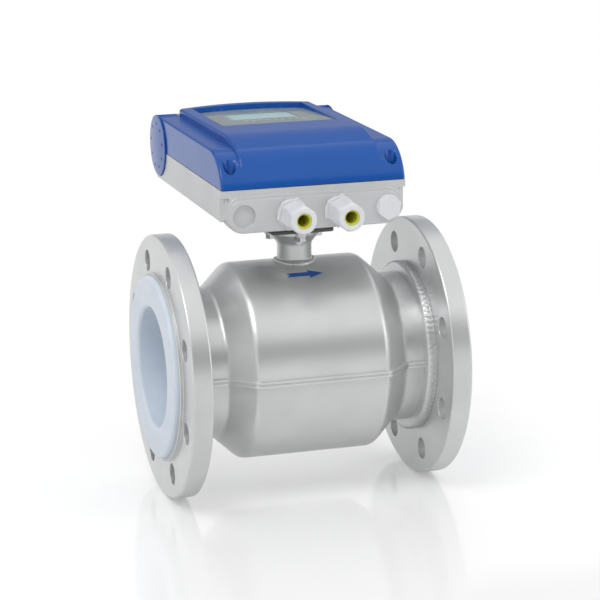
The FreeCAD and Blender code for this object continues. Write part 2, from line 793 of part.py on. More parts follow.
def make_electrode_bushes():
    """Insulating bushes, one round each electrode's stud."""
    body = new_body("electrode_bushes")
    sketch = new_sketch(body, "YZ_Plane")
    add_outline(sketch, [
        ("liner_outer", "electrode_radius"),
        ("liner_outer", "bush_radius"),
        ("tube_radius", "bush_radius"),
        ("tube_radius", "bush_flange_radius"),
        ("bush_outer", "bush_flange_radius"),
        ("bush_outer", "electrode_radius"),
    ])
    mirror(body, [spin(body, sketch)], "XZ_Plane")


def make_electrode_nuts():
    """Hexagon nuts that draw the electrodes tight."""
    body = new_body("electrode_nuts")
    sketch = new_sketch(body, "XZ_Plane", "bush_outer")
    add_hexagon(sketch, "0", "0", "electrode_nut_flats")
    add_circle(sketch, "0", "0", "electrode_radius")
    mirror(body, [pad(body, sketch, "electrode_nut_height")], "XZ_Plane")


# ----------------------------------------------------------------- neck
def neck_screw_places():
    """Return the four places of the neck's screws, on the plane's two axes."""
    circle = "neck_screw_circle"
    return [(circle, "0"), ("0", circle), (f"-{circle}", "0"), ("0", f"-{circle}")]


def make_neck():
    """Neck: a tube welded to the upper shell, flared to a head with four screw lugs."""
    body = new_body("neck")
    sketch = new_sketch(body, "XZ_Plane")
    add_outline(sketch, [
        ("neck_bore_radius", "housing_neck_radius"),
        ("neck_radius + neck_weld_width", "housing_neck_radius"),
        ("neck_radius + neck_weld_width", "housing_radius"),
        ("neck_radius", "housing_radius + neck_weld_height"),
        ("neck_radius", "neck_flare_start", "neck_radius / 2"),
        ("neck_head_radius", "neck_flare_end"),
        ("neck_head_radius", "neck_top"),
        ("neck_bore_radius", "neck_top"),
    ])
    spin(body, sketch, axis="V_Axis")
    saddle = new_sketch(body, "YZ_Plane")
    add_circle(saddle, "0", "0", "housing_radius")
    cut(body, saddle, "2 * housing_half_length", side="both")
    lugs = new_sketch(body, "XY_Plane", "neck_top")
    for across, up in neck_screw_places():
        add_circle(lugs, across, up, "neck_lug_radius")
    pad(body, lugs, "neck_lug_height", side="backward")
    spots = new_sketch(body, "XY_Plane", "neck_top - neck_lug_height")
    for across, up in neck_screw_places():
        add_circle(spots, across, up, "neck_spot_radius")
    cut(body, spots, "neck_top - neck_lug_height - neck_flare_start + 2", side="backward")
    holes = new_sketch(body, "XY_Plane", "neck_top")
    for across, up in neck_screw_places():
        add_circle(holes, across, up, "neck_screw_radius")
    cut(body, holes, "neck_lug_height + 1", side="backward")


def make_neck_gasket():
    """Flat square seal between the neck and the converter's socket."""
    body = new_body("neck_gasket")
    sketch = new_sketch(body, "XY_Plane", "neck_top")
    half = "neck_gasket_half_width"
    add_rectangle(sketch, f"-{half}", half, f"-{half}", half, "neck_gasket_rounding")
    add_circle(sketch, "0", "0", "neck_bore_radius")
    for across, up in neck_screw_places():
        add_circle(sketch, across, up, "neck_screw_radius")
    pad(body, sketch, "neck_gasket_thickness")


def make_neck_screws():
    """Four hexagon screws, put in from below."""
    body = new_body("neck_screws")
    bottom = "neck_top - neck_lug_height"
    heads = new_sketch(body, "XY_Plane", bottom)
    shanks = new_sketch(body, "XY_Plane", bottom)
    for across, up in neck_screw_places():
        add_hexagon(heads, across, up, "neck_screw_flats")
        add_circle(shanks, across, up, "neck_screw_radius")
    pad(body, heads, "neck_screw_head", side="backward")
    pad(body, shanks, "neck_screw_length")


# ----------------------------------------------------------------- converter base
def make_case_cavity():
    """Space inside the converter's base: wiring room, sump behind the entries and barrel."""
    body = new_body("case_cavity", helper=True)
    room = new_sketch(body, "XY_Plane", "floor_top")
    add_rectangle(room, "-cavity_half_width", "cavity_half_width", "-cavity_front", "cavity_back",
                  "cavity_rounding")
    pad(body, room, "case_top - floor_top + 1")
    columns = new_sketch(body, "XY_Plane", "floor_top")
    for sign in ("-", ""):
        add_circle(columns, f"{sign}cover_screw_across", "-cover_screw_front", "cover_screw_boss_radius")
    cut(body, columns, "case_top - floor_top + 1")
    sump = new_sketch(body, "XZ_Plane", "sump_back")
    add_stadium(sump, "pad_half_length", "entry_height", "sump_radius")
    pad(body, sump, "sump_front - sump_back")
    barrel = new_sketch(body, "YZ_Plane")
    add_circle(barrel, "hinge_back", "hinge_height", "barrel_radius - barrel_wall")
    pad(body, barrel, "2 * (base_knuckle_end - pin_boss_length)", side="both")
    way = new_sketch(body, "XZ_Plane", "-hinge_back")
    add_rectangle(way, "-entry_pitch", "entry_pitch", "hinge_height - 3 * barrel_wall",
                  "hinge_height - barrel_wall")
    pad(body, way, "hinge_back - cavity_back + 1")
    return body


def trim_case(body):
    """Round the case's lower front edge, and slope its back down from the barrel."""
    toe = new_sketch(body, "YZ_Plane")
    add_outline(toe, [
        ("-case_front - 1", "case_floor_height - 1"),
        ("-case_front + 2 * case_toe_rounding", "case_floor_height - 1"),
        ("-case_front + 2 * case_toe_rounding", "case_floor_height"),
        ("-case_front", "case_floor_height", "case_toe_rounding"),
        ("-case_front", "case_floor_height + 2 * case_toe_rounding"),
        ("-case_front - 1", "case_floor_height + 2 * case_toe_rounding"),
    ])
    cut(body, toe, "2 * case_half_width", side="both")
    back = new_sketch(body, "YZ_Plane")
    add_outline(back, [
        ("cradle_back", "case_floor_height + cradle_rise"),
        ("cradle_back + 1", "case_floor_height + cradle_rise"),
        ("cradle_back + 1", "case_top + 1"),
        ("split_back", "case_top + 1"),
        ("split_back", "case_top"),
    ])
    cut(body, back, "2 * case_half_width", side="both")


def make_converter_base():
    """Die-cast base of the converter: entry wall, floor with its socket, hinge cradle."""
    body = new_body("converter_base")
    plan = new_sketch(body, "XY_Plane", "case_floor_height")
    add_outline(plan, [
        ("-case_half_width", "-case_front", "case_corner_rounding"),
        ("case_half_width", "-case_front", "case_corner_rounding"),
        ("case_half_width", "cradle_back"),
        ("-case_half_width", "cradle_back"),
    ])
    pad(body, plan, "case_top - case_floor_height")
    trim_case(body)
    rim = new_sketch(body, "XY_Plane", "case_rim_foot")
    add_rectangle(rim, "-case_half_width", "case_half_width", "-case_front", "-case_front / 2")
    pad(body, rim, "case_rim_height")
    for sign, side in (("", "forward"), ("-", "backward")):
        cradle = new_sketch(body, "YZ_Plane", f"{sign}base_knuckle_end")
        add_circle(cradle, "hinge_back", "hinge_height", "cradle_radius")
        cut(body, cradle, "case_half_width", side=side)
    knuckle = new_sketch(body, "YZ_Plane")
    add_circle(knuckle, "hinge_back", "hinge_height", "barrel_radius")
    pad(body, knuckle, "2 * base_knuckle_end", side="both")
    block = new_sketch(body, "XZ_Plane", "block_back")
    add_stadium(block, "pad_half_length", "entry_height + block_rise", "block_radius")
    pad(body, block, "block_face - block_back")
    entry_pad = new_sketch(body, "XZ_Plane", "case_front")
    add_stadium(entry_pad, "pad_half_length", "entry_height", "pad_end_radius")
    pad(body, entry_pad, "pad_reach")
    round_edges(body, lambda edge: near(edge.BoundBox.YMin, "-pad_face")
                and near(edge.BoundBox.YMax, "-pad_face"), "pad_rounding")
    foot = new_sketch(body, "XY_Plane", "case_floor_height")
    inset = "case_half_width - case_wall / 2"
    add_rectangle(foot, f"-({inset})", inset, "-case_foot_front", "case_foot_back")
    pad(body, foot, "case_foot_depth", side="backward")
    socket = new_sketch(body, "XY_Plane", "neck_plate_top")
    half = "socket_half_width"
    add_rectangle(socket, f"-{half}", half, f"-{half}", half, "neck_gasket_rounding")
    pad(body, socket, "floor_top - neck_plate_top")
    boolean(body, make_case_cavity(), "Cut")
    wire_way = new_sketch(body, "XY_Plane", "neck_plate_top")
    add_circle(wire_way, "0", "0", "neck_bore_radius")
    cut(body, wire_way, "floor_top - neck_plate_top + 1")
    screw_holes = new_sketch(body, "XY_Plane", "neck_plate_top")
    for across, up in neck_screw_places():
        add_circle(screw_holes, across, up, "neck_screw_radius")
    cut(body, screw_holes, "neck_screw_length - neck_lug_height - neck_gasket_thickness + 1")
    entries = new_sketch(body, "XZ_Plane", "sump_back")
    for across in ("-entry_pitch / 2", "entry_pitch / 2", "plug_across"):
        add_circle(entries, across, "entry_height", "entry_hole_radius")
    cut(body, entries, "pad_face - sump_back + 1")
    knockout = new_sketch(body, "XZ_Plane", "pad_face")
    add_circle(knockout, "-1.5 * entry_pitch", "entry_height", "knockout_radius")
    cut(body, knockout, "knockout_depth", side="backward")
    pin_bore = new_sketch(body, "YZ_Plane")
    add_circle(pin_bore, "hinge_back", "hinge_height", "hinge_pin_radius")
    cut(body, pin_bore, "2 * case_half_width", side="both")
    screw_bores = new_sketch(body, "XY_Plane", "case_top")
    for sign in ("-", ""):
        add_circle(screw_bores, f"{sign}cover_screw_across", "-cover_screw_front",
                   "cover_screw_radius + cover_screw_thread_gap")
    cut(body, screw_bores, "cover_screw_length", side="backward")
    groove = new_sketch(body, "XY_Plane", "case_top")
    add_gasket_line(groove)
    cut(body, groove, "cover_gasket_depth", side="backward")
    standoffs = new_sketch(body, "XY_Plane", "floor_top")
    for across, up in board_fixings():
        add_circle(standoffs, across, up, "standoff_radius")
        add_circle(standoffs, across, up, "board_screw_radius")
    pad(body, standoffs, "board_height - floor_top")


def add_gasket_line(sketch):
    """Draw the two outlines between which the cover's gasket lies."""
    gap = "(case_wall - cover_gasket_width) / 2"
    back = "(cavity_back + split_back) / 2"
    inner = f"cavity_half_width + {gap}"
    outer = f"case_half_width - {gap}"
    front = f"cavity_front + {gap}"
    add_rectangle(sketch, f"-({inner})", inner, f"-({front})", f"{back} - cover_gasket_width / 2")
    add_rectangle(sketch, f"-({outer})", outer, f"-({front} + cover_gasket_width)",
                  f"{back} + cover_gasket_width / 2")


def make_cover_gasket():
    """Soft cord seal in the groove of the base's rim, standing up to the cover."""
    body = new_body("cover_gasket")
    sketch = new_sketch(body, "XY_Plane", "case_top - cover_gasket_depth")
    add_gasket_line(sketch)
    pad(body, sketch, "cover_gasket_depth + split_gap / 2")


# ----------------------------------------------------------------- cable entries
def entry_place(across):
    """Return where an entry's axis meets the pad; its parts are drawn about that point."""
    return (across, "-pad_face", "entry_height")


def make_gland_body(label, across, turned):
    """Cable gland's fixed part: washer face, hexagon, threaded shank and sleeve."""
    body = new_body(label, entry_place(across))
    washer = new_sketch(body, "XZ_Plane")
    add_circle(washer, "0", "0", "gland_washer_radius")
    pad(body, washer, "gland_washer_height")
    hexagon = new_sketch(body, "XZ_Plane", "gland_washer_height")
    add_hexagon(hexagon, "0", "0", "gland_flats", turned)
    pad(body, hexagon, "gland_hex_height")
    shank = new_sketch(body, "XZ_Plane")
    add_circle(shank, "0", "0", "entry_hole_radius")
    pad(body, shank, "gland_shank_length", side="backward")
    sleeve = new_sketch(body, "XZ_Plane")
    add_circle(sleeve, "0", "0", "gland_sleeve_radius")
    pad(body, sleeve, "gland_sleeve_end")
    bore = new_sketch(body, "XZ_Plane")
    add_circle(bore, "0", "0", "seal_outer_radius")
    cut(body, bore, "2 * gland_length", side="both")


def make_gland_nut(label, across):
    """Cable gland's domed nut: a hexagon turned down to a round nose."""
    body = new_body(label, entry_place(across))
    start = "gland_washer_height + gland_hex_height + gland_nut_gap"
    hexagon = new_sketch(body, "XZ_Plane", start)
    add_hexagon(hexagon, "0", "0", "gland_nut_flats", "gland_nut_turn")
    pad(body, hexagon, f"gland_length - ({start})")
    corner = "gland_nut_flats / 2 / cos(30)"
    dome = new_sketch(body, "YZ_Plane")
    add_outline(dome, [
        ("-gland_nut_hex_end", corner),
        ("-gland_nut_hex_end - 2 * gland_nut_rounding", f"{corner} - 1"),
        ("-gland_length", "gland_nut_nose_radius"),
        ("-gland_length - 1", "gland_nut_nose_radius"),
        ("-gland_length - 1", f"{corner} + 2"),
        ("-gland_nut_hex_end", f"{corner} + 2"),
    ])
    spin_cut(body, dome)
    bore = new_sketch(body, "XZ_Plane")
    add_circle(bore, "0", "0", "gland_sleeve_radius + gland_running_gap")
    cut(body, bore, "gland_sleeve_end + gland_nut_gap")
    mouth = new_sketch(body, "XZ_Plane")
    add_circle(mouth, "0", "0", "seal_outer_radius + gland_running_gap")
    cut(body, mouth, "gland_length + 1")


def make_gland_seal(label, across):
    """Cable gland's soft insert, seen as a ring in the nut's mouth."""
    body = new_body(label, entry_place(across))
    sketch = new_sketch(body, "YZ_Plane")
    add_outline(sketch, [
        ("0", "seal_bore_radius"),
        ("0", "seal_outer_radius"),
        ("-gland_length + seal_recess", "seal_outer_radius"),
        ("-gland_length + seal_recess", "seal_mouth_radius"),
        ("-gland_length + 3 * seal_recess", "seal_bore_radius"),
    ])
    spin(body, sketch)


def make_blanking_plug():
    """Hexagon plug that closes the unused entry."""
    body = new_body("blanking_plug", entry_place("plug_across"))
    collar = new_sketch(body, "XZ_Plane")
    add_circle(collar, "0", "0", "plug_collar_radius")
    pad(body, collar, "plug_collar_height")
    head = new_sketch(body, "XZ_Plane", "plug_collar_height")
    add_hexagon(head, "0", "0", "plug_flats", "plug_turn")
    pad(body, head, "plug_head_height")
    shank = new_sketch(body, "XZ_Plane")
    add_circle(shank, "0", "0", "entry_hole_radius")
    pad(body, shank, "plug_shank_length", side="backward")


# ----------------------------------------------------------------- cover
def make_cover_cavity():
    """Space under the cover, with columns left standing round the two cover screws."""
    body = new_body("cover_cavity", helper=True)
    side_view = new_sketch(body, "YZ_Plane")
    add_outline(side_view, [
        ("-cover_inner_front", "split_height - 1"),
        ("-cover_inner_front", "split_height"),
        ("-cover_front_corner + cover_wall / 2", "cover_inner_top", "cover_front_rounding - cover_wall"),
        ("cover_inner_back", "cover_inner_top"),
        ("cover_inner_back", "split_height - 1"),
    ])
    pad(body, side_view, "2 * cover_inner_half_width", side="both")
    dome = new_sketch(body, "YZ_Plane")
    add_rectangle(dome, "-dome_break", "dome_inner_back", "cover_inner_top - cover_wall", "dome_inner_top")
    pad(body, dome, "2 * dome_inner_half_width", side="both")
    columns = new_sketch(body, "XY_Plane", "split_height - 1")
    for sign in ("-", ""):
        add_circle(columns, f"{sign}cover_screw_across", "-cover_screw_front", "cover_screw_boss_radius")
    cut(body, columns, "dome_height - split_height")
    return body


def make_cover_dome():
    """Raised middle of the cover, falling in one curve to the front, with a bowed back edge."""
    body = new_body("cover_dome", helper=True)
    dome = new_sketch(body, "YZ_Plane")
    add_outline(dome, [
        ("dome_back + dome_back_bow + 2", "cradle_radius + hinge_height + 1"),
        ("dome_back + dome_back_bow + 2", "dome_height"),
        ("-dome_break", "dome_height", "dome_break_rounding"),
        ("-dome_brow", "dome_brow_height", "dome_brow_rounding"),
        ("-dome_toe", "dome_toe_height"),
        ("-dome_brow", "dome_toe_height"),
        ("shoulder_back - cover_wall", "shoulder_height - cover_wall"),
    ])
    pad(body, dome, "2 * dome_half_width", side="both")
    back_edge = new_sketch(body, "XY_Plane", "shoulder_height - cover_wall")
    add_bow(back_edge, "dome_half_width + 1", "dome_back", "dome_back + dome_back_bow",
            "dome_back + 3 * dome_back_bow")
    cut(body, back_edge, "dome_height")
    round_edges(body, lambda edge: edge.BoundBox.ZMax > number("dome_height") - 1e-4
                and edge.BoundBox.YMax > 0, "dome_edge_rounding")
    return body


def make_cover():
    """Hinged cover: curved front, two shoulders, raised middle with the window, end knuckles."""
    body = new_body("cover")
    side_view = new_sketch(body, "YZ_Plane")
    add_outline(side_view, [
        ("-cover_front", "split_height"),
        ("-cover_front_corner", "shoulder_height", "cover_front_rounding"),
        ("shoulder_back", "shoulder_height"),
        ("hinge_back", "hinge_height"),
        ("split_back", "split_height"),
    ])
    pad(body, side_view, "2 * case_half_width", side="both")
    round_edges(body, lambda edge: near(abs(edge.CenterOfMass.x), "case_half_width")
                and edge.BoundBox.ZMax > number("shoulder_height") - 2 and
                edge.CenterOfMass.y < number("shoulder_back") - 2, "cover_edge_rounding")
    boolean(body, make_cover_dome(), "Fuse")
    for sign, side in (("", "forward"), ("-", "backward")):
        knuckle = new_sketch(body, "YZ_Plane", f"{sign}knuckle_start")
        add_circle(knuckle, "hinge_back", "hinge_height", "barrel_radius")
        pad(body, knuckle, "case_half_width - knuckle_start", side=side)
    clearance = new_sketch(body, "YZ_Plane")
    add_circle(clearance, "hinge_back", "hinge_height", "cradle_radius")
    cut(body, clearance, "2 * knuckle_start", side="both")
    boolean(body, make_cover_cavity(), "Cut")
    recess = new_sketch(body, "YZ_Plane")
    add_window_profile(recess, "0", "pane_thickness + pane_gap / 2", "2 * window_depth")
    cut(body, recess, "2 * window_half_width", side="both")
    opening = new_sketch(body, "XY_Plane", "dome_inner_top - 1")
    half = "window_half_width - pane_ledge"
    add_rectangle(opening, f"-({half})", half, "window_front + pane_ledge", "dome_inner_back - cover_wall",
                  "cavity_rounding")
    cut(body, opening, "window_depth + pane_thickness")
    recesses = new_sketch(body, "XY_Plane", "cover_screw_recess_floor")
    bores = new_sketch(body, "XY_Plane", "split_height")
    for sign in ("-", ""):
        add_circle(recesses, f"{sign}cover_screw_across", "-cover_screw_front", "cover_screw_recess_radius")
        add_circle(bores, f"{sign}cover_screw_across", "-cover_screw_front",
                   "cover_screw_radius + cover_screw_gap")
    cut(body, recesses, "dome_height - split_height")
    cut(body, bores, "dome_height - split_height")
    pin_bore = new_sketch(body, "YZ_Plane")
    add_circle(pin_bore, "hinge_back", "hinge_height", "hinge_pin_radius + hinge_pin_gap")
    cut(body, pin_bore, "2 * hinge_pin_end", side="both")


def add_window_profile(sketch, inset, below, above):
    """Draw the side view of the window's sloping seat, from below to above its top plane."""
    back = f"window_back - {inset}"
    front = f"window_front + {inset}"
    back_top = "dome_height - window_depth"
    add_outline(sketch, [
        (front, f"dome_height - pane_slope * ({inset}) - ({below})"),
        (back, f"{back_top} + pane_slope * ({inset}) - ({below})"),
        (back, f"{back_top} + pane_slope * ({inset}) + ({above})"),
        (front, f"dome_height - pane_slope * ({inset}) + ({above})"),
    ])


def make_window_pane():
    """Clear pane that fills the window's seat, flush at its front edge."""
    body = new_body("window_pane")
    sketch = new_sketch(body, "YZ_Plane")
    add_window_profile(sketch, "pane_gap", "pane_thickness + pane_gap / 2", "0")
    pad(body, sketch, "2 * (window_half_width - pane_gap)", side="both")


def hinge_place():
    """Return the middle of the hinge's axis, about which its round parts are drawn."""
    return ("0", "hinge_back", "hinge_height")


def make_hinge_pin(label, side):
    """Steel stub pin, fast in the base's boss and turning in the cover's knuckle."""
    body = new_body(label, hinge_place())
    sketch = new_sketch(body, "YZ_Plane", f"{side} * hinge_pin_start")
    add_circle(sketch, "0", "0", "hinge_pin_radius")
    pad(body, sketch, "hinge_pin_end - hinge_pin_start - pane_gap", "forward" if side == 1 else "backward")


def make_hinge_cap(label, side):
    """Domed end cap of the barrel, with a ring of small blind holes."""
    body = new_body(label, hinge_place())
    sketch = new_sketch(body, "XZ_Plane")
    rim = "case_half_width + cap_rim_thickness"
    add_outline(sketch, [(f"{side} * ({across})", up) for across, up in (
        ("case_half_width", "0"),
        ("case_half_width", "barrel_radius"),
        (rim, "barrel_radius"),
        (f"{rim} + cap_dome_height * 0.75", "barrel_radius / 2"),
        (f"{rim} + cap_dome_height", "0"),
    )])
    spin(body, sketch)
    hole = new_sketch(body, "YZ_Plane", f"{side} * ({rim} - cap_dome_height / 4)")
    add_circle(hole, "0", "cap_hole_circle", "cap_hole_radius")
    first = cut(body, hole, "2 * cap_dome_height", "forward" if side == 1 else "backward")
    repeat_round(body, first, "X_Axis", "cap_hole_count", removes=True)


def make_cover_screw(label, side):
    """Captive slotted screw that holds the cover's front corner down."""
    body = new_body(label, (f"{side} * cover_screw_across", "-cover_screw_front", "cover_screw_recess_floor"))
    head = new_sketch(body, "XY_Plane")
    add_circle(head, "0", "0", "cover_screw_head_radius")
    pad(body, head, "cover_screw_head_height")
    shank = new_sketch(body, "XY_Plane")
    add_circle(shank, "0", "0", "cover_screw_radius")
    pad(body, shank, "cover_screw_length", side="backward")
    slot = new_sketch(body, "XY_Plane", "cover_screw_head_height / 2")
    reach = "cover_screw_head_radius + 1"
    add_rectangle(slot, "-cover_screw_slot / 2", "cover_screw_slot / 2", f"-({reach})", reach)
    cut(body, slot, "cover_screw_head_height")


# ----------------------------------------------------------------- electronics
def board_fixings():
    """Return the four places where the main board is screwed down."""
    return [(f"{sign}standoff_across", up)
            for sign in ("-", "") for up in ("-standoff_front", "standoff_back")]


def make_main_board():
    """Circuit board that carries the terminals and the display housing."""
    body = new_body("main_board")
    sketch = new_sketch(body, "XY_Plane", "board_height")
    add_rectangle(sketch, "-board_half_width", "board_half_width", "-board_front", "board_back")
    for across, up in board_fixings():
        add_circle(sketch, across, up, "board_screw_radius")
    pad(body, sketch, "board_thickness")


def make_board_screws():
    """Four pan-head screws in the base's standoffs."""
    body = new_body("board_screws")
    heads = new_sketch(body, "XY_Plane", "board_top")
    shanks = new_sketch(body, "XY_Plane", "board_top")
    for across, up in board_fixings():
        add_circle(heads, across, up, "board_screw_head_radius")
        add_circle(shanks, across, up, "board_screw_radius")
    pad(body, heads, "board_screw_head_height")
    pad(body, shanks, "board_thickness + board_screw_length", side="backward")


def make_terminal_block(label, side):
    """Row of wire terminals: entry holes in front and clamping screws on top."""
    body = new_body(label)
    block = new_sketch(body, "XY_Plane", "board_top")
    length = "terminal_pitch * terminal_count"
    left = "terminal_gap / 2" if side == RIGHT else f"-terminal_gap / 2 - {length}"
    add_rectangle(block, left, f"{left} + {length}", "-terminal_front", "-terminal_front + terminal_depth")
    pad(body, block, "terminal_height")
    first_across = f"{left} + terminal_pitch / 2"
    entry = new_sketch(body, "XZ_Plane", "terminal_front")
    add_circle(entry, first_across, "board_top + terminal_height / 3", "terminal_wire_radius")
    entries = cut(body, entry, "terminal_wire_depth", side="backward")
    repeat_along(body, entries, "X_Axis", "terminal_pitch", "terminal_count", removes=True)
    screw = new_sketch(body, "XY_Plane", "board_top + terminal_height")
    add_circle(screw, first_across, "-terminal_front + terminal_depth / 2", "terminal_screw_radius")
    screws = cut(body, screw, "terminal_screw_depth", side="backward")
    repeat_along(body, screws, "X_Axis", "terminal_pitch", "terminal_count", removes=True)


def key_places():
    """Return the four keys' places along their row."""
    return [f"{place} * key_pitch" for place in (-1.5, -0.5, 0.5, 1.5)]


def make_display_housing():
    """Moulded housing of the operating unit, open below, with the display's seat on top."""
    body = new_body("display_housing")
    outside = new_sketch(body, "XY_Plane", "board_top")
    half = "display_half_width"
    add_rectangle(outside, f"-{half}", half, "display_front", "display_back", "display_rounding")
    pad(body, outside, "display_top - board_top")
    inside = new_sketch(body, "XY_Plane", "board_top")
    inner = "display_half_width - display_wall"
    add_rectangle(inside, f"-({inner})", inner, "display_front + display_wall", "display_back - display_wall")
    cut(body, inside, "display_top - board_top - display_wall")
    seat = new_sketch(body, "XY_Plane", "display_top")
    add_rectangle(seat, "-lcd_half_width", "lcd_half_width", "lcd_front", "lcd_back")
    cut(body, seat, "lcd_pocket", side="backward")
    keyholes = new_sketch(body, "XY_Plane", "display_top")
    for across in key_places():
        add_circle(keyholes, across, "key_row", "key_radius + key_gap")
    cut(body, keyholes, "2 * display_wall", side="backward")


def make_lcd_panel():
    """Liquid crystal panel in its seat."""
    body = new_body("lcd_panel")
    sketch = new_sketch(body, "XY_Plane", "display_top - lcd_pocket")
    add_rectangle(sketch, "-lcd_half_width", "lcd_half_width", "lcd_front", "lcd_back")
    pad(body, sketch, "lcd_thickness")


def make_key(label, across):
    """Sprung operating key with the flange that keeps it in its hole."""
    body = new_body(label, (across, "key_row", "display_top"))
    cap = new_sketch(body, "XY_Plane", "key_proud")
    add_circle(cap, "0", "0", "key_radius")
    pad(body, cap, "key_proud + display_wall + key_gap", side="backward")
    flange = new_sketch(body, "XY_Plane", "-display_wall - key_gap")
    add_circle(flange, "0", "0", "key_radius + key_flange")
    pad(body, flange, "key_flange_height", side="backward")


# ----------------------------------------------------------------- assembly
def make_all():
    """Build every sub-part."""
    make_measuring_tube()
    make_liner()
    make_flange("inlet_flange", LEFT)
    make_flange("outlet_flange", RIGHT)
    make_shell("upper_shell", "forward")
    make_shell("lower_shell", "backward")
    for name, side in (("upper", 1), ("lower", -1)):
        make_core(f"{name}_core", side)
        make_coil(f"{name}_coil", side)
    make_return_yoke()
    make_electrode("near_electrode", NEAR)
    make_electrode("far_electrode", FAR)
    make_electrode_bushes()
    make_electrode_nuts()
    make_neck()
    make_neck_gasket()
    make_neck_screws()
    make_converter_base()
    make_cover_gasket()
    for name, across, turned in (
        ("left", "-entry_pitch / 2", "left_gland_turn"),
        ("right", "entry_pitch / 2", "right_gland_turn"),
    ):
        make_gland_body(f"{name}_gland_body", across, turned)
        make_gland_nut(f"{name}_gland_nut", across)
        make_gland_seal(f"{name}_gland_seal", across)
    make_blanking_plug()
    make_cover()
    make_window_pane()
    for name, side in (("left", LEFT), ("right", RIGHT)):
        make_hinge_pin(f"{name}_hinge_pin", side)
        make_hinge_cap(f"{name}_hinge_cap", side)
        make_cover_screw(f"{name}_cover_screw", side)
    make_main_board()
    make_board_screws()
    make_terminal_block("signal_terminals", LEFT)
    make_terminal_block("power_terminals", RIGHT)
    make_display_housing()
    make_lcd_panel()
    for place, across in enumerate(key_places(), start=1):
        make_key(f"key_{place}", across)


def check_document():
    """Stop if any object failed or any sub-part has no sound solid."""
    document.recompute()
    for item in document.Objects:
        if "Invalid" in item.State or "Error" in item.State:
            raise RuntimeError(f"{item.Label} failed to build")
    for body in sub_parts:
        if body.Shape.isNull() or not body.Shape.isValid() or not body.Shape.Solids:
            raise RuntimeError(f"{body.Label} has no sound solid")


def write_parts():
    """Write each sub-part to its own STEP file."""
    os.makedirs("parts", exist_ok=True)
    for body in sub_parts:
        body.Shape.exportStep(f"parts/{body.Label}.step")
        print(f"{body.Label}: {len(body.Shape.Solids)} solid(s), {body.Shape.Volume / 1000:.2f} cm3")


make_all()
check_document()
write_parts()
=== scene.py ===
"""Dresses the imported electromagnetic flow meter: finished pieces, finishes, lamps and camera.

Sizes in the classes are in millimetres; `Shape` turns them into metres when it makes a mesh.
X runs along the pipe with the flow, Z runs up to the converter, and the cable entries face -Y.
"""
import json
import logging
import math
from dataclasses import dataclass, field, replace
from enum import Enum
from typing import Any, Callable, Iterable, Optional, Sequence, Union

import bmesh
import bpy
from mathutils import Matrix, Vector
from mathutils.bvhtree import BVHTree


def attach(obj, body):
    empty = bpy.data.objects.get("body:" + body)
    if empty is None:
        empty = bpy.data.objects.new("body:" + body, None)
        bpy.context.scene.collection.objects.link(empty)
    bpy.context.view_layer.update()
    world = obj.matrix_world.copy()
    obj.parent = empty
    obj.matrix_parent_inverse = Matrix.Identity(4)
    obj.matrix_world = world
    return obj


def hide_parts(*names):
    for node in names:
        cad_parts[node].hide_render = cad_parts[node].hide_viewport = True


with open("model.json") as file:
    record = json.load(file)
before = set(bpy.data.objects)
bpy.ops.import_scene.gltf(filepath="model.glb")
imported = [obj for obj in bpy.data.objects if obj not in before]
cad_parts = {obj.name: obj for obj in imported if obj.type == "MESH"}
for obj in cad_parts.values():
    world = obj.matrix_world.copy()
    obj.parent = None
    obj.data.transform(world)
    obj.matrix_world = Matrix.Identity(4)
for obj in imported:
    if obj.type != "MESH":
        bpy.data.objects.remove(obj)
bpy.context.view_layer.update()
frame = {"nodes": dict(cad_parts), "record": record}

MM = 0.001
LOG = logging.getLogger("flow_meter")

Point = tuple[float, float, float]
Flat = tuple[float, float]
Colour = tuple[float, float, float]
Card = tuple[float, float, float, float, float]
WHITE: Colour = (1.0, 1.0, 1.0)
BLACK: Colour = (0.0, 0.0, 0.0)
STRAIGHT = 0.01
MERGE_NEAR = 0.0005
SHARP_FROM = 38.0


def arc_points(centre: Flat, radius: float, start: float, end: float, steps: int) -> list[Flat]:
    """Points on an arc in a plane.

    Args:
        centre: Middle of the arc.
        radius: Radius of the arc.
        start: First angle in radians.
        end: Last angle in radians.
        steps: Number of runs between the two ends.

    Returns:
        The points from start to end, both included.
    """
    turn = (end - start) / steps
    return [(centre[0] + radius * math.cos(start + turn * n),
             centre[1] + radius * math.sin(start + turn * n)) for n in range(steps + 1)]


def rounded(corners: Sequence[tuple[float, ...]], closed: bool = False, step: float = 9.0) -> list[Flat]:
    """Outline through corners, each with its own rounding.

    Args:
        corners: Corners as (across, up) or (across, up, rounding radius).
        closed: Whether the last corner joins the first.
        step: Largest turn of one run on a rounding, in degrees.

    Returns:
        The outline's points in order.
    """
    count = len(corners)
    points: list[Flat] = []
    for index, corner in enumerate(corners):
        here = Vector(corner[:2])
        radius = corner[2] if len(corner) > 2 else 0.0
        inner = closed or 0 < index < count - 1
        if not inner or radius <= 0.0:
            points.append((here.x, here.y))
            continue
        before = Vector(corners[index - 1][:2]) - here
        after = Vector(corners[(index + 1) % count][:2]) - here
        before.normalize()
        after.normalize()
        opening = before.angle(after)
        if opening > math.pi - STRAIGHT:
            points.append((here.x, here.y))
            continue
        reach = radius / math.tan(opening / 2)
        first, last = here + before * reach, here + after * reach
        middle = here + (before + after).normalized() * radius / math.sin(opening / 2)
        start = math.atan2(first.y - middle.y, first.x - middle.x)
        turn = math.atan2(last.y - middle.y, last.x - middle.x) - start
        turn = (turn + math.pi) % (2 * math.pi) - math.pi
        steps = max(2, math.ceil(abs(math.degrees(turn)) / step))
        points += arc_points((middle.x, middle.y), radius, start, start + turn, steps)
    return points


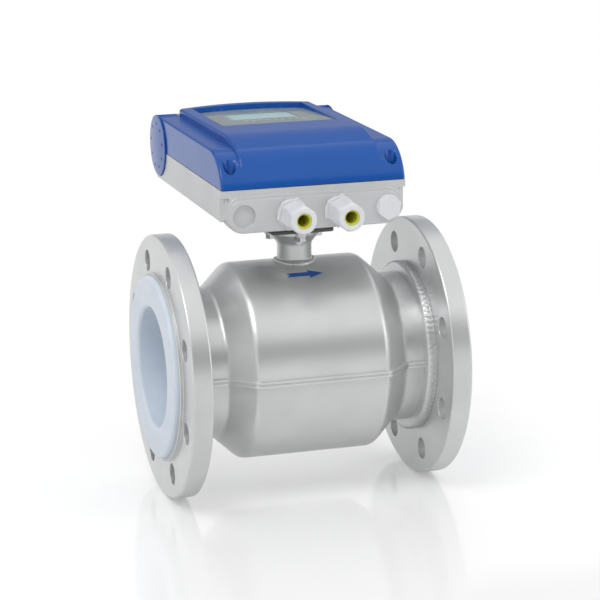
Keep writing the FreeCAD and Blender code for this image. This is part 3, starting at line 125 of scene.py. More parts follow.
class Axis(Enum):
    """Direction that a turned piece runs in, with the two directions across it."""

    X = ((1, 0, 0), (0, 1, 0), (0, 0, 1))
    Y = ((0, 1, 0), (0, 0, 1), (1, 0, 0))
    Z = ((0, 0, 1), (1, 0, 0), (0, 1, 0))

    def place(self, along: float, first: float, second: float) -> Vector:
        """Point at a distance along the axis and two distances across it."""
        run, side, rise = (Vector(v) for v in self.value)
        return run * along + side * first + rise * second


def put(name: str, data: bpy.types.ID) -> bpy.types.Object:
    """Object of a mesh, lamp or camera, put in the scene."""
    made = bpy.data.objects.new(name, data)
    bpy.context.scene.collection.objects.link(made)
    return made


# ---------------------------------------------------------------- finishes

def maths(operation: str, turned: bool = False) -> Callable[["Wire", Any], "Wire"]:
    """Method of a wire that adds one Math node.

    Args:
        operation: Operation of the node.
        turned: Whether the wire is the second of its two values.

    Returns:
        The method, which takes the other value.
    """
    def method(self: "Wire", other: Any = 0.0) -> "Wire":
        """Adds the node on the wire and the other value."""
        values = [other, self] if turned else [self, other]
        return self.page.node("ShaderNodeMath", {"operation": operation}, values)[0]
    return method


class Wire:
    """A socket of a shader tree that ordinary arithmetic works on."""

    def __init__(self, page: "NodePage", socket: bpy.types.NodeSocket) -> None:
        """Keeps the page that the socket is on."""
        self.page = page
        self.socket = socket

    __add__ = maths("ADD")
    __radd__ = maths("ADD", turned=True)
    __sub__ = maths("SUBTRACT")
    __rsub__ = maths("SUBTRACT", turned=True)
    __mul__ = maths("MULTIPLY")
    __rmul__ = maths("MULTIPLY", turned=True)
    __truediv__ = maths("DIVIDE")
    __pow__ = maths("POWER")
    __gt__ = maths("GREATER_THAN")
    wave = maths("SINE")
    size = maths("ABSOLUTE")
    either = maths("MAXIMUM")

    def between(self, low: float, high: float) -> "Wire":
        """0 up to low, 1 from high on, and a smooth rise between them."""
        return self.page.node("ShaderNodeMapRange", {"interpolation_type": "SMOOTHSTEP"},
                              {"Value": self, "From Min": low, "From Max": high})[0]


class NodePage:
    """A node tree with a single way of adding nodes."""

    def __init__(self, tree: bpy.types.NodeTree) -> None:
        """Keeps the tree."""
        self.tree = tree

    def node(self, kind: str, settings: Optional[dict[str, Any]] = None,
             inputs: Union[Sequence[Any], dict[str, Any], None] = None) -> list[Wire]:
        """Adds a node.

        Args:
            kind: Type of the node.
            settings: Its properties; "stops" gives a ramp's (place, colour) pairs.
            inputs: Values or wires of its sockets, in order or by name.

        Returns:
            The node's outputs as wires.
        """
        made = self.tree.nodes.new(kind)
        for name, value in (settings or {}).items():
            if name == "stops":
                self._set_stops(made.color_ramp, value)
            else:
                setattr(made, name, value)
        pairs = inputs.items() if isinstance(inputs, dict) else enumerate(inputs or [])
        for name, value in pairs:
            if isinstance(value, Wire):
                self.tree.links.new(value.socket, made.inputs[name])
            elif isinstance(value, tuple) and len(value) == 3 and made.inputs[name].type == "RGBA":
                made.inputs[name].default_value = (*value, 1.0)
            else:
                made.inputs[name].default_value = value
        return [Wire(self, socket) for socket in made.outputs]

    @staticmethod
    def _set_stops(ramp: bpy.types.ColorRamp, stops: Sequence[tuple[float, Colour]]) -> None:
        """Gives a ramp its stops."""
        while len(ramp.elements) < len(stops):
            ramp.elements.new(1.0)
        for element, (place, colour) in zip(ramp.elements, stops):
            element.position = place
            element.color = (*colour, 1.0)


class Page(NodePage):
    """One material's node tree."""

    def __init__(self, name: str) -> None:
        """Starts a material of that name with an empty tree."""
        self.material = bpy.data.materials.new(name)
        self.material.use_nodes = True
        super().__init__(self.material.node_tree)
        self.tree.nodes.clear()

    def place(self) -> Wire:
        """Object coordinates in metres."""
        return self.node("ShaderNodeTexCoord")[3]

    def parts(self, vector: Wire) -> list[Wire]:
        """X, Y and Z of a vector."""
        return self.node("ShaderNodeSeparateXYZ", None, [vector])

    def shifted(self, vector: Wire, offset: Point, scale: Point = (1.0, 1.0, 1.0)) -> Wire:
        """Vector moved and stretched by a Mapping node."""
        return self.node("ShaderNodeMapping", None,
                         {"Vector": vector, "Location": offset, "Scale": scale})[0]

    def noise(self, vector: Wire, scale: float, detail: float = 3.0, roughness: float = 0.55) -> Wire:
        """Noise of a number of cells to the metre, from 0 to 1."""
        return self.node("ShaderNodeTexNoise", None,
                         {"Vector": vector, "Scale": scale, "Detail": detail, "Roughness": roughness})[0]

    def mix(self, factor: Any, first: Any, second: Any) -> Wire:
        """Colour between two colours."""
        return self.node("ShaderNodeMix", {"data_type": "RGBA"}, {0: factor, 6: first, 7: second})[2]

    def bump(self, height: Any, depth: float) -> Wire:
        """Normal of a surface that rises by depth metres where height is 1."""
        return self.node("ShaderNodeBump", None, {"Height": height, "Distance": depth})[0]

    def finish(self, **sockets: Any) -> bpy.types.Material:
        """Ends the tree in a Principled shader.

        Args:
            **sockets: Values or wires by socket name, with _ for a space.

        Returns:
            The material.
        """
        shader = self.node("ShaderNodeBsdfPrincipled", None,
                           {name.replace("_", " "): value for name, value in sockets.items()})
        self.node("ShaderNodeOutputMaterial", None, {"Surface": shader[0]})
        return self.material


@dataclass(frozen=True)
class Coating:
    """Paint or powder coat on metal, with orange peel, faint mottling and dust."""

    name: str
    colour: Colour
    shade: Colour
    roughness: float
    metallic: float = 0.0
    peel: float = 420.0
    peel_depth: float = 0.00004
    speckle: float = 0.0
    shine: float = 0.5
    ridges_from: float = 0.0
    ridge_pitch: float = 0.001

    def material(self) -> bpy.types.Material:
        """Material of this coating."""
        page = Page(self.name)
        place = page.place()
        mottle = page.noise(place, 22.0, 4.0)
        fine = page.noise(place, 2600.0, 2.0)
        peel = page.noise(place, self.peel, 2.0, 0.45)
        tone = (mottle * 0.8 + fine * self.speckle).between(0.25, 0.85)
        rough = self.roughness + (mottle - 0.5) * 0.08 + (fine - 0.5) * 0.1
        height = peel + fine * 0.12
        if self.ridges_from:
            height = height + self._ridges(page, place) * 3.0
        return page.finish(Base_Color=page.mix(tone, self.colour, self.shade), Roughness=rough,
                           Metallic=self.metallic, Specular_IOR_Level=self.shine,
                           Normal=page.bump(height, self.peel_depth))

    def _ridges(self, page: Page, place: Wire) -> Wire:
        """Turned ridges round the pipe, outside `ridges_from` along it."""
        along, across, up = page.parts(place)
        reach = (across * across + up * up) ** 0.5
        lines = ((along.size() + reach) * (math.tau / self.ridge_pitch)).wave()
        return lines * along.size().between(self.ridges_from, self.ridges_from + 0.0002)


@dataclass(frozen=True)
class Moulding:
    """Moulded plastic or rubber: fine grain, soft flow marks and a little light let in."""

    name: str
    colour: Colour
    shade: Colour
    roughness: float
    grain: float = 1500.0
    grain_depth: float = 0.00002
    inside: float = 0.0
    inside_radius: Point = (0.002, 0.002, 0.002)

    def material(self) -> bpy.types.Material:
        """Material of this plastic or rubber."""
        page = Page(self.name)
        place = page.place()
        flow = page.noise(page.shifted(place, (0.0, 0.0, 0.0), (1.0, 0.4, 1.0)), 60.0, 3.0)
        grain = page.noise(place, self.grain, 3.0)
        rough = self.roughness + (flow - 0.5) * 0.12 + (grain - 0.5) * 0.06
        return page.finish(Base_Color=page.mix(flow.between(0.3, 0.75), self.colour, self.shade),
                           Roughness=rough, Subsurface_Weight=self.inside,
                           Subsurface_Radius=self.inside_radius, Subsurface_Scale=1.0,
                           Normal=page.bump(grain, self.grain_depth))


@dataclass(frozen=True)
class BareMetal:
    """Turned or drawn metal with fine tool lines round or along one axis."""

    name: str
    colour: Colour
    shade: Colour
    roughness: float
    axis: Axis = Axis.X
    lines: float = 3000.0
    line_depth: float = 0.000008

    def material(self) -> bpy.types.Material:
        """Material of this metal."""
        page = Page(self.name)
        place = page.place()
        stretch = tuple(1.0 if part else 0.03 for part in self.axis.value[0])
        lines = page.noise(page.shifted(place, (0.0, 0.0, 0.0), stretch), self.lines, 3.0)
        stain = page.noise(place, 90.0, 4.0)
        rough = self.roughness + (lines - 0.5) * 0.2 + (stain - 0.5) * 0.15
        return page.finish(Base_Color=page.mix(stain.between(0.3, 0.8), self.colour, self.shade),
                           Metallic=1.0, Roughness=rough,
                           Normal=page.bump(lines, self.line_depth))


@dataclass(frozen=True)
class WindowGlass:
    """Clear flat pane over the display."""

    name: str
    tint: Colour
    roughness: float = 0.04
    smeared: float = 0.06
    refraction: float = 1.45
    gloss_share: float = 0.3

    def material(self) -> bpy.types.Material:
        """Material of the pane: mostly see-through, with a gloss on top."""
        page = Page(self.name)
        smear = page.noise(page.place(), 40.0, 4.0)
        rough = self.roughness + smear.between(0.4, 0.9) * self.smeared
        gloss = page.node("ShaderNodeBsdfGlossy", None, {"Color": WHITE, "Roughness": rough})[0]
        clear = page.node("ShaderNodeBsdfTransparent", None, {"Color": self.tint})[0]
        facing = page.node("ShaderNodeFresnel", None, {"IOR": self.refraction})[0]
        blend = page.node("ShaderNodeMixShader", None, [facing * self.gloss_share, clear, gloss])[0]
        page.node("ShaderNodeOutputMaterial", None, {"Surface": blend})
        return page.material


@dataclass(frozen=True)
class LiquidCrystal:
    """Pale display panel with a faint dot grid and a painted glow: its own colour is given out as light,
    though no lamp is behind it.
    """

    name: str
    colour: Colour
    shade: Colour
    dots: float = 1400.0
    roughness: float = 0.22
    painted_glow: float = 0.28

    def material(self) -> bpy.types.Material:
        """Material of the panel."""
        page = Page(self.name)
        across, along, _ = page.parts(page.place())
        grid = (across * self.dots * math.tau).wave() * (along * self.dots * math.tau).wave()
        haze = page.noise(page.place(), 30.0)
        tone = (grid * 0.12 + haze * 0.7).between(0.15, 0.85)
        colour = page.mix(tone, self.colour, self.shade)
        # Painted glow: the panel's colour is also emitted, which brightens it as if a light were behind it.
        return page.finish(Base_Color=colour, Roughness=self.roughness, Emission_Color=colour,
                           Emission_Strength=self.painted_glow)


@dataclass(frozen=True)
class CircuitBoard:
    """Solder mask over copper tracks."""

    name: str
    mask: Colour
    track: Colour
    pitch: float = 0.0032
    edges: Flat = (0.55, 0.75)
    roughness: float = 0.32
    track_height: float = 0.00003

    def material(self) -> bpy.types.Material:
        """Material of the board: straight runs that change lane from block to block."""
        page = Page(self.name)
        across, along, _ = page.parts(page.place())
        lanes = page.noise(page.place(), 55.0, 0.0)
        bent = across + lanes.between(0.45, 0.55) * self.pitch * 0.5
        runs = (bent / self.pitch * math.tau).wave().between(*self.edges)
        crossing = (along / self.pitch * math.tau).wave().between(*self.edges)
        block = page.noise(page.place(), 70.0, 0.0) > 0.5
        tracks = runs * block + crossing * (1 - block)
        return page.finish(Base_Color=page.mix(tracks * 0.6, self.mask, self.track),
                           Roughness=self.roughness, Normal=page.bump(tracks, self.track_height))


SENSOR_PAINT = Coating("sensor_paint", (0.69, 0.70, 0.70), (0.62, 0.63, 0.63), 0.33, metallic=0.6,
                       peel=300.0, peel_depth=0.00005, speckle=0.35)
FINISHES = (
    SENSOR_PAINT,
    replace(SENSOR_PAINT, name="flange_paint", ridges_from=0.1182, ridge_pitch=0.0009),
    Coating("case_grey", (0.62, 0.63, 0.635), (0.56, 0.57, 0.58), 0.38, metallic=0.25, peel=520.0,
            speckle=0.1),
    Coating("cover_blue", (0.006, 0.092, 0.41), (0.005, 0.078, 0.36), 0.20, peel=460.0,
            peel_depth=0.000025, shine=0.4),
    Moulding("liner_plastic", (0.76, 0.83, 0.92), (0.70, 0.78, 0.88), 0.38, inside=0.15,
             grain_depth=0.00001),
    Moulding("white_plastic", (0.84, 0.85, 0.87), (0.78, 0.79, 0.82), 0.36, inside=0.12),
    Moulding("insert_rubber", (0.66, 0.66, 0.07), (0.58, 0.58, 0.05), 0.45, grain_depth=0.00003),
    Moulding("seal_rubber", (0.045, 0.045, 0.045), (0.02, 0.02, 0.02), 0.7, grain=700.0,
             grain_depth=0.0002),
    Moulding("key_rubber", (0.05, 0.05, 0.055), (0.03, 0.03, 0.03), 0.6),
    Moulding("insulator", (0.72, 0.70, 0.62), (0.66, 0.64, 0.56), 0.5),
    Moulding("terminal_plastic", (0.05, 0.055, 0.06), (0.035, 0.04, 0.045), 0.45),
    Moulding("display_plastic", (0.20, 0.22, 0.22), (0.17, 0.19, 0.19), 0.5),
    BareMetal("stainless", (0.60, 0.60, 0.60), (0.48, 0.48, 0.49), 0.28),
    BareMetal("soft_iron", (0.20, 0.20, 0.21), (0.13, 0.12, 0.12), 0.5),
    BareMetal("copper_winding", (0.55, 0.22, 0.08), (0.45, 0.16, 0.06), 0.3, axis=Axis.Z,
              line_depth=0.0001, lines=900.0),
    WindowGlass("window_glass", (0.93, 0.95, 0.95)),
    LiquidCrystal("lcd_glass", (0.56, 0.78, 0.79), (0.48, 0.71, 0.73)),
    CircuitBoard("board_green", (0.01, 0.09, 0.035), (0.02, 0.19, 0.07)),
    Coating("arrow_blue", (0.012, 0.10, 0.40), (0.010, 0.085, 0.35), 0.45, peel=900.0,
            peel_depth=0.00003, speckle=0.3),
    Moulding("gasket_fibre", (0.16, 0.16, 0.155), (0.09, 0.09, 0.09), 0.8, grain=900.0,
             grain_depth=0.0002),
    Moulding("mask_grey", (0.42, 0.44, 0.43), (0.38, 0.40, 0.39), 0.55, grain_depth=0.000004),
    Moulding("mark_white", (0.88, 0.89, 0.89), (0.82, 0.83, 0.83), 0.5),
    Moulding("component_dark", (0.03, 0.03, 0.033), (0.02, 0.02, 0.022), 0.4),
)


class Finishes:
    """Every finish of the meter, made once and handed out by material slot."""

    def __init__(self) -> None:
        """Makes the materials."""
        self.made: dict[str, bpy.types.Material] = {each.name: each.material() for each in FINISHES}

    def dress(self) -> None:
        """Gives each shown CAD node the finish of its slot in the record."""
        for name, node in frame["nodes"].items():
            slot = NODE_SLOTS[name]
            node.data.materials.clear()
            node.data.materials.append(self.made[slot])
        LOG.info("dressed %d nodes", len(frame["nodes"]))


# ---------------------------------------------------------------- meshes

class Shape:
    """A mesh in the making, in millimetres."""

    def __init__(self) -> None:
        """Starts an empty mesh."""
        self.mesh = bmesh.new()

    def loop(self, points: Iterable[Vector]) -> list[bmesh.types.BMVert]:
        """Adds a loop of points."""
        return [self.mesh.verts.new(point) for point in points]

    def skin(self, first: list[bmesh.types.BMVert], second: list[bmesh.types.BMVert]) -> None:
        """Joins two closed loops of equal length by a band of faces."""
        for index, corner in enumerate(first):
            after = (index + 1) % len(first)
            self.mesh.faces.new((corner, first[after], second[after], second[index]))

    def sweep(self, rings: Sequence[Sequence[Vector]], closed: bool) -> None:
        """Skins rings of points that lie along a path.

        Args:
            rings: Rings with equally many points.
            closed: Whether the last ring joins the first; otherwise both ends are capped.
        """
        loops = [self.loop(ring) for ring in rings]
        for first, second in zip(loops, loops[1:] + (loops[:1] if closed else [])):
            self.skin(first, second)
        if not closed:
            self.mesh.faces.new(loops[0])
            self.mesh.faces.new(loops[-1])

    def turn(self, outline: Sequence[Flat], axis: Axis, centre: Point = (0.0, 0.0, 0.0),
             segments: int = 64, wobble: Optional[Callable[[float], float]] = None) -> None:
        """Turns a closed outline about an axis.

        Args:
            outline: Points as (along the axis, radius), in order.
            axis: Axis of the turning.
            centre: Point on the axis that the outline's lengths count from.
            segments: Number of steps round the axis.
            wobble: Change of the radius by the angle, for an uneven ring.
        """
        rings = []
        for step in range(segments):
            angle = math.tau * step / segments
            uneven = wobble(angle) if wobble else 0.0
            rings.append([Vector(centre) + axis.place(along, (radius + uneven) * math.cos(angle),
                                                      (radius + uneven) * math.sin(angle))
                          for along, radius in outline])
        self.sweep(rings, True)

    def tube(self, path: Sequence[Vector], radius: Callable[[float], float], sides: int = 10,
             closed: bool = True) -> None:
        """Lays a round bead along a path.

        Args:
            path: Points of the bead's middle line.
            radius: Radius by the share of the way along the path.
            sides: Number of points round the bead.
            closed: Whether the path returns to its start.
        """
        rings = []
        count = len(path)
        for index, here in enumerate(path):
            before = path[index - 1] if closed or index else here
            after = path[(index + 1) % count] if closed or index < count - 1 else here
            ahead = (after - before).normalized()
            side = ahead.cross(Vector((0.0, 0.0, 1.0)))
            side = side.normalized() if side.length > 0.05 else Vector((1.0, 0.0, 0.0))
            rise = side.cross(ahead)
            size = radius(index / count)
            rings.append([here + side * size * math.cos(math.tau * n / sides)
                          + rise * size * math.sin(math.tau * n / sides) for n in range(sides)])
        self.sweep(rings, closed)

    def done(self, sharp: float = SHARP_FROM) -> bpy.types.Mesh:
        """Ends the mesh.

        Args:
            sharp: Angle in degrees from which an edge stays sharp.

        Returns:
            The mesh in metres, with its faces outwards.
        """
        bmesh.ops.remove_doubles(self.mesh, verts=self.mesh.verts, dist=MERGE_NEAR)
        bmesh.ops.recalc_face_normals(self.mesh, faces=self.mesh.faces)
        return settled(self.mesh, sharp)


def settled(shape: bmesh.types.BMesh, sharp: float) -> bpy.types.Mesh:
    """Plain mesh in metres from one in millimetres, smooth except at its sharp edges."""
    shape.transform(Matrix.Scale(MM, 4))
    mesh = bpy.data.meshes.new("shape")
    shape.to_mesh(mesh)
    shape.free()
    mesh.polygons.foreach_set("use_smooth", [True] * len(mesh.polygons))
    mesh.set_sharp_from_angle(angle=math.radians(sharp))
    return mesh


def off_line(point: Vector, start: Vector, end: Vector) -> float:
    """Distance of a point from the straight line between two others."""
    run = end - start
    share = min(max((point - start).dot(run) / max(run.length_squared, 1e-12), 0.0), 1.0)
    return (start + run * share - point).length


def evaluated(made: bpy.types.Object) -> bpy.types.Mesh:
    """Plain mesh that an object's modifiers give; the modifiers are then removed."""
    graph = bpy.context.evaluated_depsgraph_get()
    mesh = bpy.data.meshes.new_from_object(made.evaluated_get(graph))
    made.modifiers.clear()
    return mesh


@dataclass(frozen=True)
class EdgeBreak:
    """Rounding of a part's corners.

    Lengths are in millimetres. An edge that `wide_where` picks, by its middle, gets the
    wide rounding, and any other edge sharper than `from_angle` gets the plain one. Where a
    rounding would leave the surface or fold over, the edges there get a smaller one.
    """

    plain: float = 0.5
    wide: float = 0.0
    wide_where: Optional[Callable[[Vector], bool]] = None
    steps: int = 3
    from_angle: float = 24.0
    tries: int = 4
    merge_near: float = 0.002
    flat_within: float = 0.5
    fault_reach: float = 1.5
    fault_slack: float = 0.3
    stray_from: float = 1.1
    least_area: float = 0.01
    near_slack: float = 0.02
    folded_from: float = -0.2
    cuts: tuple[float, ...] = ()
    shift: Optional[Callable[[Vector], Vector]] = None

    def rounded_copy(self, source: bpy.types.Mesh) -> bpy.types.Mesh:
        """Copies a mesh of loose triangles with its corners rounded.

        Args:
            source: Mesh in metres.

        Returns:
            The copy, in metres.
        """
        shape = self._merged(source)
        widths = self._widths(shape)
        surface = BVHTree.FromBMesh(shape)
        for attempt in range(self.tries):
            mesh = self._bevelled(shape, widths)
            spots = self._faults(mesh, surface, shape, widths)
            if not spots:
                break
            for index, width in widths.items():
                ends = [vertex.co for vertex in shape.edges[index].verts]
                reach = self.fault_reach * width + self.fault_slack
                if width > 0.0 and any(off_line(spot, *ends) < reach for spot in spots):
                    widths[index] = width * 0.5 if attempt < self.tries - 2 else 0.0
        shape.free()
        mesh.set_sharp_from_angle(angle=math.radians(SHARP_FROM))
        return mesh

    def _merged(self, source: bpy.types.Mesh) -> bmesh.types.BMesh:
        """Joined, cut and shifted copy of a mesh, in millimetres, with flat faces made whole."""
        shape = bmesh.new()
        shape.from_mesh(source)
        shape.transform(Matrix.Scale(1.0 / MM, 4))
        bmesh.ops.remove_doubles(shape, verts=shape.verts, dist=self.merge_near)
        bmesh.ops.dissolve_limit(shape, angle_limit=math.radians(self.flat_within),
                                 verts=shape.verts, edges=shape.edges)
        for across in self.cuts:
            bmesh.ops.bisect_plane(shape, geom=shape.verts[:] + shape.edges[:] + shape.faces[:],
                                   plane_co=(across, 0.0, 0.0), plane_no=(1.0, 0.0, 0.0))
        if self.shift:
            for vertex in shape.verts:
                vertex.co = self.shift(vertex.co)
        shape.normal_update()
        shape.edges.ensure_lookup_table()
        return shape

    def _widths(self, shape: bmesh.types.BMesh) -> dict[int, float]:
        """Rounding of each sharp edge, by the edge's index."""
        widths = {}
        for edge in shape.edges:
            if edge.is_manifold and edge.calc_face_angle(0.0) > math.radians(self.from_angle):
                middle = (edge.verts[0].co + edge.verts[1].co) / 2
                wide = self.wide_where is not None and self.wide_where(middle)
                widths[edge.index] = self.wide if wide else self.plain
        return widths

    def _bevelled(self, shape: bmesh.types.BMesh, widths: dict[int, float]) -> bpy.types.Mesh:
        """Copy of the shape in metres with a rounding on each listed edge."""
        copy = shape.copy()
        copy.edges.ensure_lookup_table()
        weight = copy.edges.layers.float.new("bevel_weight_edge")
        largest = max(self.plain, self.wide)
        for index, width in widths.items():
            copy.edges[index][weight] = width / largest
        holder = put("holder", settled(copy, 180.0))
        bevel = holder.modifiers.new("corners", "BEVEL")
        bevel.limit_method, bevel.width, bevel.segments = "WEIGHT", largest * MM, self.steps
        bevel.use_clamp_overlap = False
        mesh = evaluated(holder)
        bpy.data.objects.remove(holder)
        return mesh

    def _faults(self, mesh: bpy.types.Mesh, surface: BVHTree, shape: bmesh.types.BMesh,
                widths: dict[int, float]) -> list[Vector]:
        """Points where a rounded copy leaves the surface that it was made from, or folds over it."""
        copy = bmesh.new()
        copy.from_mesh(mesh)
        copy.transform(Matrix.Scale(1.0 / MM, 4))
        bmesh.ops.triangulate(copy, faces=copy.faces[:])
        copy.normal_update()
        wide = [[vertex.co for vertex in shape.edges[index].verts]
                for index, width in widths.items() if width > self.plain * 1.01]
        spots: list[Vector] = []
        strays = set()
        for vertex in copy.verts:
            away = surface.find_nearest(vertex.co)[3]
            if away > self.stray_from * self.plain and not any(
                    off_line(vertex.co, *ends) < self.fault_reach * self.wide for ends in wide):
                strays.add(vertex.index)
        for face in copy.faces:
            if any(vertex.index in strays for vertex in face.verts):
                spots += [vertex.co.copy() for vertex in face.verts if vertex.index not in strays]
            elif face.calc_area() > self.least_area:
                middle = face.calc_center_median()
                near = surface.find_nearest_range(
                    middle, surface.find_nearest(middle)[3] + self.near_slack)
                if all(found[1].dot(face.normal) < self.folded_from for found in near):
                    spots += [vertex.co.copy() for vertex in face.verts]
        copy.free()
        return list({tuple(round(place, 0) for place in spot): spot for spot in spots}.values())


class Pattern(Enum):
    """How copies of a shape are laid out: the node that gives their points."""

    RING = "GeometryNodeMeshCircle"
    ROW = "GeometryNodeMeshLine"


@dataclass(frozen=True)
class Repeat:
    """Copies of a small shape on a ring or in a row, made by Geometry Nodes.

    Lengths are in millimetres. A ring lies across the Z axis before `turned`, and a row
    runs along X. Each copy on a ring faces outwards.
    """

    pattern: Pattern
    count: int
    spacing: float
    centre: Point
    turned: Point = (0.0, 0.0, 0.0)
    uneven: float = 0.0
    seed: int = 1

    def mesh(self, template: bpy.types.Mesh) -> bpy.types.Mesh:
        """Lays out a shape.

        Args:
            template: The shape in metres, drawn about the origin.

        Returns:
            One mesh of all the copies.
        """
        holder = put("holder", template)
        modifier = holder.modifiers.new("repeat", "NODES")
        modifier.node_group, names = self._tree()
        for name, value in (("Count", self.count), ("Spacing", self.spacing * MM),
                            ("Centre", [place * MM for place in self.centre]),
                            ("Turned", [math.radians(turn) for turn in self.turned]),
                            ("Uneven", self.uneven), ("Seed", self.seed)):
            modifier[names[name]] = value
        mesh = evaluated(holder)
        bpy.data.objects.remove(holder)
        return mesh

    def _tree(self) -> tuple[bpy.types.NodeTree, dict[str, str]]:
        """Builds the tree; gives it with the identifiers of its inputs by name."""
        tree = bpy.data.node_groups.new(f"repeat_{self.pattern.name.lower()}", "GeometryNodeTree")
        sockets = (("Geometry", "NodeSocketGeometry"), ("Count", "NodeSocketInt"),
                   ("Spacing", "NodeSocketFloat"), ("Centre", "NodeSocketVector"),
                   ("Turned", "NodeSocketVector"), ("Uneven", "NodeSocketFloat"), ("Seed", "NodeSocketInt"))
        names = {name: tree.interface.new_socket(name=name, in_out="INPUT", socket_type=kind).identifier
                 for name, kind in sockets}
        tree.interface.new_socket(name="Geometry", in_out="OUTPUT", socket_type="NodeSocketGeometry")
        page = NodePage(tree)
        shape, count, spacing, centre, turned, uneven, seed = page.node("NodeGroupInput")[:7]
        index = page.node("GeometryNodeInputIndex")[0]
        if self.pattern is Pattern.RING:
            points = page.node(self.pattern.value, None, {"Vertices": count, "Radius": spacing})[0]
            heading = page.node("ShaderNodeCombineXYZ", None, {"Z": index * math.tau / count})[0]
        else:
            step = page.node("ShaderNodeCombineXYZ", None, {"X": spacing})[0]
            points = page.node(self.pattern.value, None, {"Count": count, "Offset": step})[0]
            heading = page.node("ShaderNodeCombineXYZ")[0]
        size = page.node("FunctionNodeRandomValue", {"data_type": "FLOAT"},
                         {2: 1.0 - uneven, 3: 1.0 + uneven, "ID": index, "Seed": seed})[1]
        copies = page.node("GeometryNodeInstanceOnPoints", None,
                           {"Points": points, "Instance": shape, "Rotation": heading, "Scale": size})[0]
        placed = page.node("GeometryNodeTransform", None,
                           {"Geometry": copies, "Translation": centre, "Rotation": turned})[0]
        real = page.node("GeometryNodeRealizeInstances", None, {"Geometry": placed})[0]
        dressed = page.node("GeometryNodeSetMaterial", None, {"Geometry": real})[0]
        page.node("NodeGroupOutput", None, [dressed])
        return tree, names


class Bench:
    """Where meshes become pieces: put on a body, dressed and reported."""

    def __init__(self, finishes: "Finishes") -> None:
        """Keeps the finishes."""
        self.finishes = finishes

    def piece(self, name: str, mesh: bpy.types.Mesh, body: str, slot: str,
              stands_for: Sequence[str] = (), finish: str = "") -> bpy.types.Object:
        """Makes a piece of a mesh.

        Args:
            name: Name of the piece.
            mesh: Its mesh in metres.
            body: Body that it moves with.
            slot: The record's material slot that it takes its finish from.
            stands_for: CAD nodes that it is shown instead of.
            finish: Name of the finish where it isn't the slot's own.

        Returns:
            The piece.
        """
        made = put(name, mesh)
        weighted = made.modifiers.new("normals", "WEIGHTED_NORMAL")
        weighted.keep_sharp = True
        made.data = evaluated(made)
        made.data.name = name
        made.data.materials.clear()
        made.data.materials.append(self.finishes.made[finish or slot])
        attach(made, body)
        if stands_for:
            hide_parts(*stands_for)
        LOG.info("%s: %d faces on %s", name, len(made.data.polygons), body)
        return made

    def soften(self, corners: EdgeBreak, *nodes: str, finish: str = "") -> None:
        """Shows a copy of each CAD node with its corners rounded in the node's place.

        Args:
            corners: The rounding.
            *nodes: Names of the nodes.
            finish: Name of the finish where it isn't the slot's own.
        """
        for node in nodes:
            mesh = corners.rounded_copy(frame["nodes"][node].data)
            self.piece(f"{node}_finished", mesh, BODY_OF[node], NODE_SLOTS[node], [node], finish)


NODE_SLOTS: dict[str, str] = {row["node"]: row["material_slot"] for row in frame["record"]["subparts"]}
BODY_OF: dict[str, str] = {node: body for body, nodes in frame["record"]["behaviour"]["bodies"].items()
                           for node in nodes}


# ---------------------------------------------------------------- sensor

